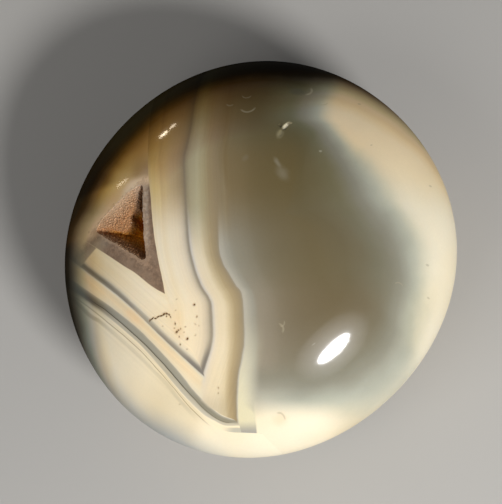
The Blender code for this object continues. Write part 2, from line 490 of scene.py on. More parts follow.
def loft(name, rings, tip):
    """A closed mesh through equal rings: flat at the first and drawn to a tip after the last."""
    builder = bmesh.new()
    rows = [[builder.verts.new(point * MM) for point in ring] for ring in rings]
    count = len(rings[0])
    for upper, lower in zip(rows, rows[1:]):
        for step in range(count):
            after = (step + 1) % count
            builder.faces.new((upper[step], upper[after], lower[after], lower[step]))
    apex = builder.verts.new(tip * MM)
    for step in range(count):
        builder.faces.new((rows[-1][step], rows[-1][(step + 1) % count], apex))
    builder.faces.new(rows[0])
    bmesh.ops.recalc_face_normals(builder, faces=builder.faces)
    mesh = bpy.data.meshes.new(name)
    builder.to_mesh(mesh)
    builder.free()
    thing = bpy.data.objects.new(name, mesh)
    bpy.context.scene.collection.objects.link(thing)
    return thing


def cut_vug(thing):
    """Take the pocket out of the skin."""
    above = [vug_point(flat, CUTTER_HEAD) for flat in MOUTH_RING]
    rings = [above] + [pocket_ring(step / POCKET_RINGS) for step in range(POCKET_RINGS)]
    cutter = loft("vug_cutter", rings, VUG_MIDDLE - VUG_OUT * POCKET_DEPTH)
    modifier = thing.modifiers.new("vug", "BOOLEAN")
    modifier.operation = "DIFFERENCE"
    modifier.solver = "EXACT"
    modifier.object = cutter
    seen = thing.evaluated_get(bpy.context.evaluated_depsgraph_get())
    mesh = bpy.data.meshes.new_from_object(seen)
    thing.modifiers.clear()
    thing.data = mesh
    bpy.data.objects.remove(cutter, do_unlink=True)


cut_vug(stone)
print("stone with its vug:", len(stone.data.polygons), "faces")

# %% [markdown]
# The polish isn't perfect. Where soft spots of the agate tore out under the wheel, tiny pits and
# one short, crumbly crack stay open, and a knock has flaked a chip off the dome. They are real
# dents: the skin is divided finely round each one and then pressed in. How much rust a place has
# taken up is kept beside the dents in an attribute, for the colours.

# %% Pits, crack and chip
# Place, half length, half width, turn, depth and rust, in millimetres and degrees
DENTS = (
    (-6.10, -12.01, 0.19, 0.17, 20.0, 0.10, 0.9), (-5.81, -13.63, 0.16, 0.14, 60.0, 0.08, 0.6),
    (-9.06, -14.30, 0.20, 0.12, 100.0, 0.08, 0.8), (-8.90, -15.42, 0.21, 0.16, 40.0, 0.10, 1.0),
    (-8.62, -15.22, 0.16, 0.12, 0.0, 0.07, 0.8), (-8.28, -15.05, 0.14, 0.11, 80.0, 0.06, 0.6),
    (-7.38, -16.45, 0.20, 0.16, 40.0, 0.11, 1.0), (-7.57, -14.86, 0.15, 0.10, 0.0, 0.05, 0.5),
    (-8.56, -16.08, 0.14, 0.11, 80.0, 0.06, 0.6), (-8.49, -17.10, 0.15, 0.12, 90.0, 0.07, 0.7),
    (-7.54, -17.80, 0.14, 0.10, 0.0, 0.05, 0.4), (-6.18, -16.05, 0.18, 0.12, 20.0, 0.05, 0.3),
    (-7.80, -15.55, 0.12, 0.09, 0.0, 0.04, 0.4), (-9.20, -14.90, 0.12, 0.10, 0.0, 0.04, 0.5),
    (-6.10, -14.60, 0.20, 0.10, -35.0, 0.04, 0.3), (-5.60, -14.85, 0.14, 0.09, -50.0, 0.04, 0.25),
    (-10.97, -14.46, 0.13, 0.10, 0.0, 0.04, 0.3), (-8.66, -11.06, 0.13, 0.10, 30.0, 0.04, 0.35),
    (-8.88, -12.53, 0.12, 0.10, 0.0, 0.04, 0.35), (-3.50, -22.98, 0.16, 0.12, 90.0, 0.06, 0.45),
    (-3.58, -23.63, 0.13, 0.10, 70.0, 0.05, 0.4), (-9.57, -24.64, 0.15, 0.10, 0.0, 0.04, 0.3),
    (-12.90, -13.45, 0.22, 0.11, 60.0, 0.09, 0.9), (-12.55, -13.28, 0.34, 0.11, 30.0, 0.12, 1.0),
    (-12.05, -13.30, 0.24, 0.10, -15.0, 0.12, 1.0), (-11.62, -13.12, 0.34, 0.11, 22.0, 0.13, 1.0),
    (-11.15, -13.05, 0.28, 0.12, 5.0, 0.13, 1.0), (-10.72, -12.88, 0.30, 0.16, 30.0, 0.14, 1.0),
    (-10.30, -12.84, 0.26, 0.14, -20.0, 0.13, 1.0), (-10.30, -13.20, 0.13, 0.10, 80.0, 0.09, 0.9),
    (-9.92, -13.02, 0.22, 0.12, -45.0, 0.11, 0.9), (-9.70, -13.34, 0.18, 0.09, -70.0, 0.08, 0.8),
    (6.72, 13.95, 0.70, 0.34, 62.0, 0.13, 0.0), (7.25, 14.65, 0.34, 0.22, 20.0, 0.10, 0.0),
    (6.12, 12.80, 0.62, 0.36, 75.0, 0.08, 0.0), (6.05, 14.20, 0.36, 0.26, 110.0, 0.12, 0.0),
)
DENT_SURROUND = 0.62
DENT_CUTS = 7
DENT_LEVEL = BELLY_DEPTH + 2.0
DENT_BLUNTNESS = 0.8
RUST_SPREAD = 1.0
SHARP_ANGLE = 40.0


def dent_share(x, y, dent):
    """How deep a place lies in a dent (0 to 1), and how rusty it is (0 to 1)."""
    at_x, at_y, length, width, turn, _, rust = dent
    along, across = turned(x - at_x, y - at_y, turn)
    reach = math.hypot(along / length, across / width)
    return max(1.0 - reach * reach, 0.0) ** DENT_BLUNTNESS, rust * math.exp(-(reach / RUST_SPREAD) ** 2.0)


def near_dent(x, y):
    """True where the skin needs finer faces."""
    return any(math.hypot(x - dent[0], y - dent[1]) < dent[2] + DENT_SURROUND for dent in DENTS)


def press_dents(thing):
    """Divide the skin round the dents, press them in and note their rust."""
    builder = bmesh.new()
    builder.from_mesh(thing.data)
    close = [vert for vert in builder.verts
             if vert.co.z > DENT_LEVEL * MM and near_dent(vert.co.x / MM, vert.co.y / MM)]
    close_set = set(close)
    edges = [edge for edge in builder.edges if edge.verts[0] in close_set and edge.verts[1] in close_set]
    bmesh.ops.subdivide_edges(builder, edges=edges, cuts=DENT_CUTS, use_grid_fill=True)
    rust_layer = builder.verts.layers.float.new("rust")
    pressed = 0
    for vert in builder.verts:
        x, y = vert.co.x / MM, vert.co.y / MM
        if vert.co.z < DENT_LEVEL * MM or not near_dent(x, y):
            continue
        shares = [dent_share(x, y, dent) for dent in DENTS]
        depth = max(share * dent[5] for (share, _), dent in zip(shares, DENTS))
        vert[rust_layer] = max(rust for _, rust in shares)
        vert.co = (Vector((x, y, dome_height(x, y))) - dome_normal(x, y) * depth) * MM
        pressed += 1
    for face in builder.faces:
        face.smooth = True
    builder.to_mesh(thing.data)
    builder.free()
    print("skin points round the dents:", pressed)


press_dents(stone)
stone.data.set_sharp_from_angle(angle=math.radians(SHARP_ANGLE))
print("stone with its dents:", len(stone.data.polygons), "faces")

# %% [markdown]
# The crust of crystals is a thin lining with a shape of its own. Along the north-west side it
# slopes in gently to a lobed ledge. Past the ledge, and close to the other two sides, it drops
# into the dark. Its depth is worked out for every place in the mouth from the distances to the
# three sides, and the underside follows the pocket, so the lining is one closed solid.

# %% The lining of the vug
LINING_RINGS = 44
LINING_CROWDING = 1.25
LINING_GAP = 0.01
THINNEST_CRUST = 0.02
ROOM_AT_MOUTH = 0.35
ROOM_PER_MM = 1.1
LEDGE_SLOPE = 0.40
LEDGE_DROP = 3.4
LEDGE_BRINK = 0.6
# How far the ledge reaches in from the north-west side, for each place from the west corner
LEDGE_REACH = ((0.0, 0.05), (1.1, 0.5), (1.7, 0.8), (2.3, 1.2), (2.8, 1.9), (3.3, 2.7), (4.1, 3.2),
               (4.9, 3.2), (5.3, 2.9), (5.6, 2.3), (5.8, 2.0), (6.3, 1.9), (6.8, 2.2), (7.3, 2.4), (7.9, 1.9),
               (8.3, 1.4), (8.8, 0.9), (9.3, 0.4), (10.4, 0.2))
# The two steep sides, each with the distance in which it falls by about two thirds
STEEP_SIDES = ((0, 1.5), (1, 0.6))
DEEPEST = 4.8
DROP_ROUNDS = 4


def table_value(table, place):
    """A value between the rows of a table, read off smoothly."""
    for (low, low_value), (high, high_value) in zip(table, table[1:]):
        if place <= high:
            share = min(max((place - low) / (high - low), 0.0), 1.0)
            return low_value + (high_value - low_value) * share * share * (3.0 - 2.0 * share)
    return table[-1][1]


def lining_depth(flat):
    """How deep the crystals lie under the mouth at one place."""
    depths = [DEEPEST]
    for index, sink in STEEP_SIDES:
        start, _, inward = side_frame(index)
        distance = max((flat - start).dot(inward), 0.0)
        depths.append(DEEPEST * (1.0 - math.exp(-distance / sink)))
    start, along, inward = side_frame(NORTH_WEST_SIDE)
    distance = (flat - start).dot(inward)
    from_west = (MOUTH_CORNERS[0] - start).length - (flat - start).dot(along)
    reach = table_value(LEDGE_REACH, from_west)
    drop = min(max((distance - reach) / LEDGE_BRINK, 0.0), 1.0)
    drop = drop * drop * (3.0 - 2.0 * drop)
    bowed = max(distance + MOUTH_BULGE, 0.0)
    depths.append(min(bowed, reach + LEDGE_BRINK) * LEDGE_SLOPE + LEDGE_DROP * drop)
    return min(depths)


def skin_drop(flat):
    """How far the skin curves down under the vug's own plane at one place."""
    drop = 0.0
    for _ in range(DROP_ROUNDS):
        point = vug_point(flat, -drop)
        drop += (point.z - dome_height(point.x, point.y)) * VUG_OUT.z
    return drop


def make_lining():
    """The closed lining, its upper side marked for the crystals."""
    builder = bmesh.new()
    inside = builder.faces.layers.int.new("inside")
    room = builder.verts.layers.float.new("room")
    count = len(MOUTH_RING)
    middle = sum(MOUTH_RING, Vector((0.0, 0.0))) / count
    rows = []
    for ring in range(LINING_RINGS):
        share = (1.0 - (ring / LINING_RINGS) ** LINING_CROWDING) * (1.0 - LINING_GAP / MOUTH_REACH)
        flats = [middle + (flat - middle) * share for flat in MOUTH_RING]
        depths = [max(lining_depth(flat), THINNEST_CRUST) if ring else 0.0 for flat in flats]
        rows.append([builder.verts.new(vug_point(flat, -depth - skin_drop(flat)) * MM)
                     for flat, depth in zip(flats, depths)])
        for vert, depth in zip(rows[-1], depths):
            vert[room] = min(ROOM_AT_MOUTH + depth * ROOM_PER_MM, 1.0)
    bottom = builder.verts.new(vug_point(middle, -lining_depth(middle) - skin_drop(middle)) * MM)
    bottom[room] = 1.0
    for outer, inner in zip(rows, rows[1:]):
        for step in range(count):
            after = (step + 1) % count
            builder.faces.new((outer[step], outer[after], inner[after], inner[step]))[inside] = 1
    for step in range(count):
        builder.faces.new((rows[-1][step], rows[-1][(step + 1) % count], bottom))[inside] = 1
    return builder, rows[0], count


def close_lining(builder, rim, count):
    """The lining's underside, which follows the pocket a little way off its wall."""
    above = rim
    for ring in range(1, POCKET_RINGS):
        row = [builder.verts.new(point * MM) for point in pocket_ring(ring / POCKET_RINGS, LINING_GAP)]
        for step in range(count):
            after = (step + 1) % count
            builder.faces.new((above[after], above[step], row[step], row[after]))
        above = row
    bottom = builder.verts.new(vug_point(Vector((0.0, 0.0)), LINING_GAP - POCKET_DEPTH) * MM)
    for step in range(count):
        builder.faces.new((above[(step + 1) % count], above[step], bottom))
    bmesh.ops.recalc_face_normals(builder, faces=builder.faces)
    mesh = bpy.data.meshes.new("lining")
    builder.to_mesh(mesh)
    builder.free()
    return mesh


lining = close_lining(*make_lining())
print("lining:", len(lining.polygons), "faces")

# %% [markdown]
# A druse is a carpet of crystals of one kind and many sizes, so Geometry Nodes grow it: points are
# spread over the lining with a least distance between them, and each gets one six-sided quartz
# point, stood on the surface, leaned and scaled at random. One small mesh serves all of them.

# %% One quartz point
POINT_SIDES = 6
POINT_ROOT = 0.3
POINT_SHOULDER = 0.55
POINT_TIP = (0.04, 0.02, 1.0)


def make_quartz_point():
    """A six-sided prism with a pyramid on it, one unit wide and tall, with its foot sunk."""
    builder = bmesh.new()
    corners = [Vector((math.cos(turn), math.sin(turn), 0.0)) * 0.5
               for turn in (2.0 * math.pi * side / POINT_SIDES for side in range(POINT_SIDES))]
    low = [builder.verts.new(corner - Vector((0.0, 0.0, POINT_ROOT))) for corner in corners]
    high = [builder.verts.new(corner + Vector((0.0, 0.0, POINT_SHOULDER))) for corner in corners]
    tip = builder.verts.new(POINT_TIP)
    builder.faces.new(reversed(low))
    for side in range(POINT_SIDES):
        after = (side + 1) % POINT_SIDES
        builder.faces.new((low[side], low[after], high[after], high[side]))
        builder.faces.new((high[side], high[after], tip))
    mesh = bpy.data.meshes.new("quartz_point")
    builder.to_mesh(mesh)
    builder.free()
    return bpy.data.objects.new("quartz_point", mesh)


quartz_point = make_quartz_point()
print("one quartz point:", len(quartz_point.data.polygons), "faces")

# %% The druse's tree
DRUSE_SIZES = (("Spacing", 0.145 * MM), ("Smallest", 0.15 * MM), ("Largest", 0.34 * MM),
               ("Shortest", 0.3), ("Longest", 0.7), ("Lean", 0.45), ("Most", 3.0e7), ("Seed", 23))


def druse_tree(point, material):
    """Quartz points all over the marked side of the mesh that carries the modifier."""
    tree, bench, inputs = new_geometry_tree("druse", DRUSE_SIZES, with_geometry=True)
    size = {name: Wire(bench, inputs.outputs[name]) for name, _ in DRUSE_SIZES}
    base = Wire(bench, inputs.outputs["Geometry"])
    inside = bench.node("GeometryNodeInputNamedAttribute", {"data_type": "INT"}, {"Name": "inside"})
    spread = bench.node("GeometryNodeDistributePointsOnFaces", {"distribute_method": "POISSON"},
                        {"Mesh": base, "Selection": inside, "Distance Min": size["Spacing"],
                         "Density Max": size["Most"], "Seed": size["Seed"]})
    stand = Wire(bench, spread.socket.node.outputs["Rotation"])
    lean = bench.node("FunctionNodeRandomValue", {"data_type": "FLOAT_VECTOR"},
                      {0: (-1.0, -1.0, 0.0), 1: (1.0, 1.0, 2.0 * math.pi), "Seed": 3})
    lean = bench.vector("MULTIPLY", lean, bench.combine(size["Lean"], size["Lean"], 1.0))
    lean = bench.node("FunctionNodeEulerToRotation", sockets={"Euler": lean})
    turned = bench.node("FunctionNodeRotateRotation", {"rotation_space": "LOCAL"},
                        {"Rotation": stand, "Rotate By": lean})
    width = bench.node("FunctionNodeRandomValue", {"data_type": "FLOAT"},
                       {2: size["Smallest"], 3: size["Largest"], "Seed": 5}, 1)
    # Close under the polished skin there is room for small crystals only
    room = bench.node("GeometryNodeInputNamedAttribute", {"data_type": "FLOAT"}, {"Name": "room"})
    width = width * room
    tall = width * bench.node("FunctionNodeRandomValue", {"data_type": "FLOAT"},
                              {2: size["Shortest"], 3: size["Longest"], "Seed": 7}, 1)
    shape = bench.node("GeometryNodeObjectInfo", sockets={"Object": point}, out="Geometry")
    grown = bench.node("GeometryNodeInstanceOnPoints",
                       sockets={"Points": spread, "Instance": shape, "Rotation": turned,
                                "Scale": bench.combine(width, width, tall)})
    tone = bench.node("FunctionNodeRandomValue", {"data_type": "FLOAT"}, {2: 0.0, 3: 1.0, "Seed": 9}, 1)
    toned = bench.node("GeometryNodeStoreNamedAttribute", {"data_type": "FLOAT", "domain": "INSTANCE"},
                       {"Geometry": grown, "Name": "tone", "Value": tone})
    joined = bench.tree.nodes.new("GeometryNodeJoinGeometry")
    for part in (base, toned):
        bench.tree.links.new(part.socket, joined.inputs[0])
    end_tree(bench, Wire(bench, joined.outputs[0]), material)
    return tree


crust = grow("quartz_crust", druse_tree(quartz_point, druse), lining)
bpy.data.objects.remove(quartz_point, do_unlink=True)
print("crust:", len(crust.data.polygons), "faces")

# %% [markdown]
# The crystals at the mouth were ground and polished together with the stone. So what stands out of
# the vug is pressed down to just under the dome.

# %% Polish the crystals level with the dome
POLISH_GAP = 0.004


def polish_crust(thing, least_gap):
    """Press what stands out of the vug down to just under the dome."""
    lowered = 0
    for vert in thing.data.vertices:
        x, y, z = vert.co / MM
        level = dome_height(x, y) - least_gap
        if z > level:
            vert.co.z = level * MM
            lowered += 1
    return lowered


print("crust points polished down:", polish_crust(crust, POLISH_GAP))

# %% [markdown]
# Orca agate is chalcedony that grew in layers, cream, tan, grey and almost black, round a cavity.
# The saw and the grinding wheel cut through those layers, so a band on the surface is the edge of
# a sheet inside. The material follows the same idea. It reads the place of each point in
# millimetres, works out between which sheets the point lies, and looks its colour up in a ramp.
# The sheets are solid, so the bands run on down the sides and under the stone.

# %% The bench for the agate, and the place of each point
pen = Bench(agate.node_tree)
place = pen.vector("MULTIPLY", pen.node("ShaderNodeTexCoord", out="Object"), (1.0 / MM,) * 3)


def soft_noise(scale, detail=2.0, where=place, roughness=0.5):
    """Lumps from 0 to 1, as many to a millimetre as scale says."""
    sockets = {"Vector": where, "Scale": scale, "Detail": detail, "Roughness": roughness}
    return pen.node("ShaderNodeTexNoise", sockets=sockets)


def sway(amount, *noise, **more_noise):
    """The same lumps about 0, from minus to plus half the amount."""
    return (soft_noise(*noise, **more_noise) - 0.5) * amount


STONE_X, STONE_Y, STONE_Z = pen.parts(place)
# The sheets aren't upright: below the dome they lean and waver, more so the deeper they go
below = (BELLY_DEPTH - STONE_Z).with_math("MAXIMUM", 0.0)
waver = below * 0.75 + 0.10
elsewhere = pen.vector("ADD", place, (40.0, 9.0, 3.0))
x = STONE_X + below * 0.22 + sway(waver, 0.07) + sway(0.10, 0.9)
y = STONE_Y + below * 0.10 + sway(waver, 0.06, where=elsewhere)
print("agate bench ready")

# %% [markdown]
# A sheet's edge is drawn by a Float Curve: a smooth line through a few places measured on the
# stone. Every line of the pattern is such a curve, so each can be moved without touching the rest.

# %% Lines across the stone
def measured_line(along, places, handle="AUTO_CLAMPED"):
    """The place across, in millimetres, for each place along."""
    start, end = places[0][0], places[-1][0]
    low = min(across for _, across in places)
    high = max(across for _, across in places)
    points = [((at - start) / (end - start), (across - low) / (high - low)) for at, across in places]
    share = ((along - start) / (end - start)).clamped()
    curve = pen.node("ShaderNodeFloatCurve", {"bend": (handle, points)}, {"Value": share})
    return curve * (high - low) + low


def distance_from(middle, at_x, at_y, level=0.0):
    """How far a place lies from a middle."""
    return ((at_x - middle[0]) ** 2.0 + (at_y - middle[1]) ** 2.0 + level ** 2.0) ** 0.5


def bearing_from(middle, at_x, at_y, facing=0.0):
    """In which direction a place lies from a middle, in degrees off the direction faced."""
    ahead, aside = turned(at_x - middle[0], at_y - middle[1], facing)
    return aside.with_math("ARCTAN2", ahead) * (180.0 / math.pi)


def share_between(value, low, high):
    """0 at one line and 1 at the next, held there."""
    return ((value - low) / (high - low)).clamped()


# East of the vug, the place to the east for each place north
QUARTZ_EAST = ((-30.0, -14.5), (-20.0, -11.6), (-15.0, -10.9), (-12.0, -10.15), (-10.2, -10.37),
               (-3.9, -11.59), (0.0, -12.2), (4.6, -12.77), (7.6, -13.25), (10.7, -13.67), (13.9, -13.97),
               (24.0, -14.8))
FIRST_LINE_EAST = ((-28.0, -9.2), (-24.4, -7.5), (-22.0, -6.2), (-21.0, -5.68), (-20.0, -5.18),
                   (-19.0, -4.68), (-18.0, -4.22), (-17.0, -3.92), (-16.0, -3.74), (-14.0, -3.70),
                   (-12.3, -3.74), (-11.4, -3.97), (-10.5, -4.52), (-9.4, -5.15), (-7.5, -5.85),
                   (-5.8, -6.28), (-3.7, -6.70), (-1.0, -6.95), (1.5, -7.12), (5.2, -7.38), (8.1, -7.62),
                   (9.6, -7.72), (11.8, -7.46), (13.3, -7.28), (15.7, -7.1), (21.5, -7.14), (26.0, -7.1))
TAN_START = ((-31.0, -3.2), (-27.6, -3.0), (-24.4, -2.8), (-21.7, -2.35), (-19.0, -1.85), (-16.5, -1.5),
             (-13.4, -1.4), (-11.3, -1.9), (-9.9, -2.6), (-7.8, -3.6), (-6.1, -4.2), (-4.6, -4.55),
             (-3.0, -4.7), (2.5, -4.85), (12.0, -5.1), (24.0, -5.2))
TAN_EDGE = ((-31.0, -1.9), (-27.6, -1.42), (-26.0, -1.22), (-24.4, -0.98), (-21.7, -0.46), (-19.0, 0.36),
            (-16.5, 0.85), (-13.4, 0.93), (-11.3, 0.82), (-9.9, 0.07), (-7.8, -1.11), (-6.1, -1.92),
            (-4.6, -2.23), (-3.0, -2.3), (2.5, -2.4), (12.0, -2.9), (24.0, -3.0))
HEART_EDGE = ((-31.0, 3.4), (-27.6, 3.1), (-24.4, 3.0), (-21.7, 2.9), (-19.0, 2.9), (-16.5, 3.1),
              (-13.4, 3.1), (-11.3, 2.8), (-9.9, 2.1), (-7.5, 0.9), (-5.0, 0.2), (2.5, -0.6), (24.0, -1.2))
# South-west of the vug, along and across the bands there: the place across for each place along
BAND_TURN = math.radians(-42.4)
CREASE_SHARPNESS = 0.06
QUARTZ_SOUTH = ((-22.0, 16.6), (-14.7, 15.89), (-11.4, 15.58), (-8.6, 15.3), (-6.3, 15.01), (-4.4, 14.97),
                (-2.4, 14.81), (-0.8, 14.5), (8.0, 13.4), (24.0, 8.0))
FIRST_LINE_SOUTH = ((-22.0, 19.2), (-16.0, 19.08), (-12.0, 18.95), (-9.4, 18.80), (-6.0, 18.68),
                    (-3.0, 18.76), (0.5, 18.92), (2.8, 19.02), (5.6, 19.06), (9.9, 19.0), (14.0, 18.7),
                    (17.0, 17.6), (24.0, 12.0))
GREY_EDGE = ((-22.0, 22.2), (-12.8, 21.45), (-9.9, 21.18), (-7.4, 20.93), (-5.2, 20.78), (-3.3, 20.68),
             (-1.0, 20.64), (1.5, 20.75), (3.5, 20.90), (5.9, 21.14), (8.5, 21.53), (10.2, 21.86),
             (12.8, 22.02), (14.6, 21.96), (16.1, 21.50), (16.8, 21.15), (18.6, 19.6), (24.0, 15.5))
HAIRLINE = ((-22.0, 23.1), (-12.17, 22.18), (-9.73, 22.01), (-7.54, 21.74), (-1.05, 21.62), (1.0, 21.64),
            (3.07, 21.78), (4.69, 21.90), (6.6, 22.15), (8.99, 22.47), (10.77, 22.66), (13.08, 22.82),
            (14.52, 22.70), (15.76, 22.34), (16.79, 21.62), (18.6, 20.1), (24.0, 16.0))
PALE_EDGE = ((-22.0, 23.6), (-9.43, 22.45), (-7.13, 22.28), (-0.65, 22.08), (1.46, 22.20), (4.13, 22.50),
             (6.0, 22.80), (7.99, 23.10), (10.39, 23.38), (12.64, 23.46), (14.0, 23.28), (14.81, 23.04),
             (15.33, 22.94), (15.80, 22.80), (16.22, 22.58), (16.98, 21.98), (17.82, 21.25), (20.45, 19.6),
             (26.0, 16.7))
BROWN_LINE = ((-22.0, 24.2), (-7.6, 22.98), (-6.0, 22.93), (-4.0, 22.83), (-2.0, 22.78), (0.0, 22.78),
              (2.0, 22.86), (4.0, 23.08), (6.0, 23.30), (8.0, 23.57), (10.0, 23.90), (12.0, 24.12),
              (14.0, 24.15), (15.0, 23.90), (16.11, 23.38), (16.69, 23.09), (17.36, 22.68), (18.36, 21.89),
              (19.21, 21.19), (20.45, 20.16), (26.0, 17.0))
OLIVE_BAND = ((-22.0, 24.6), (-12.94, 23.76), (-10.12, 23.84), (-7.37, 23.51), (-1.0, 23.4), (5.0, 23.6),
              (10.0, 24.3), (15.0, 24.7))
# Where the two families of bands meet, from the vug's west corner to the stone's south edge
CREASE = ((-31.0, 4.0), (-28.66, 1.75), (-28.58, 1.30), (-28.52, -1.10), (-27.55, -1.20), (-27.2, -1.50),
          (-26.95, -1.80), (-26.84, -2.10), (-26.58, -2.85), (-26.18, -3.75), (-25.6, -4.42), (-24.4, -5.7),
          (-23.2, -5.4), (-21.7, -5.2), (-20.7, -5.5), (-20.0, -5.75), (-10.04, -10.6), (-5.0, -14.3),
          (0.0, -19.0), (5.0, -24.0), (12.0, -32.0))

EAST_LINES = (QUARTZ_EAST, FIRST_LINE_EAST, TAN_START, TAN_EDGE, HEART_EDGE)
SOUTH_LINES = (QUARTZ_SOUTH, FIRST_LINE_SOUTH, GREY_EDGE, HAIRLINE, PALE_EDGE, BROWN_LINE)


def bands_passed(value, lines):
    """How many lines a value has passed, counting its way to the next one."""
    return sum(share_between(value, before, after) for before, after in zip(lines, lines[1:]))


east_lines = [measured_line(y, line) for line in EAST_LINES]
quartz_east, first_line_east, _, tan_edge, heart_edge = east_lines
east_band = bands_passed(x, east_lines)
along_south = x * math.cos(BAND_TURN) + y * math.sin(BAND_TURN)
across_south = x * math.sin(BAND_TURN) - y * math.cos(BAND_TURN)
south_lines = [measured_line(along_south, line) for line in SOUTH_LINES]
quartz_south = south_lines[0]
south_band = bands_passed(across_south, south_lines)
# Between the two grey lines the creams of both families melt together
crease_softness = pen.zone((y, -21.2, -22.2), (y, -25.9, -25.2)) * 0.8 + CREASE_SHARPNESS
from_crease = x - measured_line(y, CREASE, "VECTOR") + crease_softness
past_crease = pen.step(from_crease, 0.0, crease_softness + CREASE_SHARPNESS)
print("nodes for the lines:", len(agate.node_tree.nodes))

# %% [markdown]
# The colour of each layer is a stop on a ramp. A crisp edge is two stops close together, and a
# layer that fades into the next one is two stops far apart. The bands east of the vug turn browner
# towards the north, so they have one ramp for the south and one for the north.

# %% The bands' colours
CREAM = (0.91, 0.79, 0.585)
WARM_CREAM = (0.91, 0.765, 0.525)
INK = (0.10, 0.085, 0.065)
PALE_SLATE = (0.51, 0.46, 0.36)
SOUTH_EDGE_CREAM = (0.83, 0.745, 0.56)
# A stop's place counts the lines that are passed on the way out from the quartz
EAST_SOUTHERN = (
    (0.00, WARM_CREAM), (0.12, CREAM), (0.30, WARM_CREAM), (0.48, CREAM), (0.66, (0.88, 0.755, 0.55)),
    (0.80, (0.80, 0.69, 0.515)), (0.88, (0.68, 0.585, 0.445)), (0.94, (0.53, 0.46, 0.35)),
    (0.975, (0.39, 0.34, 0.26)), (1.00, (0.34, 0.295, 0.23)), (1.055, (0.38, 0.34, 0.275)),
    (1.10, (0.56, 0.515, 0.445)), (1.17, (0.68, 0.62, 0.54)), (1.28, (0.76, 0.67, 0.52)),
    (1.50, (0.79, 0.68, 0.49)), (1.80, (0.77, 0.665, 0.475)), (2.00, (0.70, 0.59, 0.395)),
    (2.20, (0.56, 0.455, 0.285)), (2.45, (0.44, 0.345, 0.20)), (2.70, (0.37, 0.29, 0.17)),
    (2.88, (0.33, 0.265, 0.165)), (2.965, (0.335, 0.29, 0.21)), (3.00, (0.44, 0.40, 0.33)),
    (3.05, (0.455, 0.42, 0.345)), (3.15, (0.445, 0.415, 0.34)), (3.35, (0.385, 0.36, 0.295)),
    (3.60, (0.325, 0.305, 0.245)), (3.82, (0.31, 0.29, 0.23)), (4.00, (0.29, 0.265, 0.205)))
EAST_NORTHERN = (
    (0.00, (0.72, 0.55, 0.29)), (0.10, (0.77, 0.575, 0.25)), (0.26, (0.79, 0.59, 0.275)),
    (0.33, (0.68, 0.50, 0.245)), (0.37, (0.70, 0.515, 0.255)), (0.44, (0.70, 0.525, 0.265)),
    (0.60, (0.60, 0.455, 0.26)), (0.75, (0.51, 0.385, 0.225)), (0.86, (0.43, 0.33, 0.20)),
    (0.94, (0.345, 0.275, 0.175)), (0.98, (0.30, 0.245, 0.17)), (1.02, (0.315, 0.265, 0.18)),
    (1.12, (0.385, 0.335, 0.225)), (1.35, (0.47, 0.42, 0.285)), (1.70, (0.51, 0.47, 0.32)),
    (1.95, (0.48, 0.425, 0.275)), (2.15, (0.43, 0.37, 0.23)), (2.45, (0.375, 0.30, 0.18)),
    (2.80, (0.33, 0.262, 0.162)), (3.00, (0.31, 0.247, 0.152)), (3.40, (0.292, 0.235, 0.142)),
    (4.00, (0.265, 0.20, 0.11)))
# The layers south-west of the vug as far as the grey edge are the same all along
SOUTH_CREAMS = (
    (1.14, (0.35, 0.31, 0.25)), (1.17, (0.66, 0.60, 0.49)), (1.22, (0.78, 0.69, 0.535)),
    (1.28, (0.84, 0.705, 0.485)), (1.55, (0.86, 0.69, 0.45)), (1.80, (0.85, 0.715, 0.50)),
    (1.96, (0.79, 0.685, 0.51)))
SOUTH_WEST = (
    (0.00, WARM_CREAM), (0.20, (0.95, 0.82, 0.60)), (0.50, (0.92, 0.79, 0.57)),
    (0.80, (0.90, 0.77, 0.56)), (0.89, (0.80, 0.71, 0.545)), (0.93, (0.60, 0.545, 0.44)),
    (0.965, (0.42, 0.38, 0.31)), (1.00, (0.34, 0.305, 0.25)), (1.09, (0.29, 0.26, 0.215)),
) + SOUTH_CREAMS + (
    (2.03, (0.46, 0.425, 0.345)), (2.20, (0.375, 0.355, 0.29)), (2.70, (0.355, 0.34, 0.28)),
    (2.89, (0.30, 0.285, 0.23)), (2.94, INK), (3.04, INK), (3.09, (0.42, 0.39, 0.31)),
    (3.20, PALE_SLATE), (3.80, (0.53, 0.485, 0.385)), (3.95, (0.70, 0.62, 0.475)),
    (4.08, (0.86, 0.75, 0.55)), (4.72, (0.85, 0.745, 0.53)), (4.82, (0.52, 0.42, 0.28)),
    (4.93, (0.50, 0.40, 0.265)), (5.00, (0.87, 0.765, 0.565)))
SOUTH_FAR_WEST = (
    (0.00, (0.84, 0.70, 0.46)), (0.20, (0.84, 0.70, 0.46)), (0.50, (0.80, 0.655, 0.41)),
    (0.76, (0.76, 0.635, 0.43)), (0.83, (0.66, 0.56, 0.40)), (0.88, (0.48, 0.43, 0.33)),
    (0.93, (0.27, 0.24, 0.185)), (1.00, (0.19, 0.17, 0.13)), (1.10, (0.26, 0.235, 0.185)),
) + SOUTH_CREAMS + (
    (2.03, (0.46, 0.41, 0.32)), (2.25, (0.31, 0.28, 0.22)), (2.60, (0.178, 0.157, 0.118)),
    (3.00, (0.102, 0.088, 0.068)), (3.50, (0.135, 0.12, 0.092)), (3.95, (0.40, 0.385, 0.32)),
    (4.20, (0.56, 0.55, 0.47)), (4.60, (0.64, 0.635, 0.545)), (4.76, (0.46, 0.44, 0.355)),
    (4.90, (0.46, 0.44, 0.355)), (5.00, (0.74, 0.715, 0.61)))
GREY_LINES_MEET = (-5.7, -20.0)

# The outer layers keep their southern colours further north than the inner ones
northern = pen.step(y + pen.step(east_band, 0.9, 1.3) * 3.4, -2.5, 6.0)
# In the far south the white layer and the tan one are warmer, and all is dimmer towards the crease
warmer = pen.zone((y, -17.0, -25.0), (east_band, 1.1, 1.3), (east_band, 3.0, 2.9))
dimmer = pen.zone((y, -22.8, -25.8), (x, -1.8, -3.0))
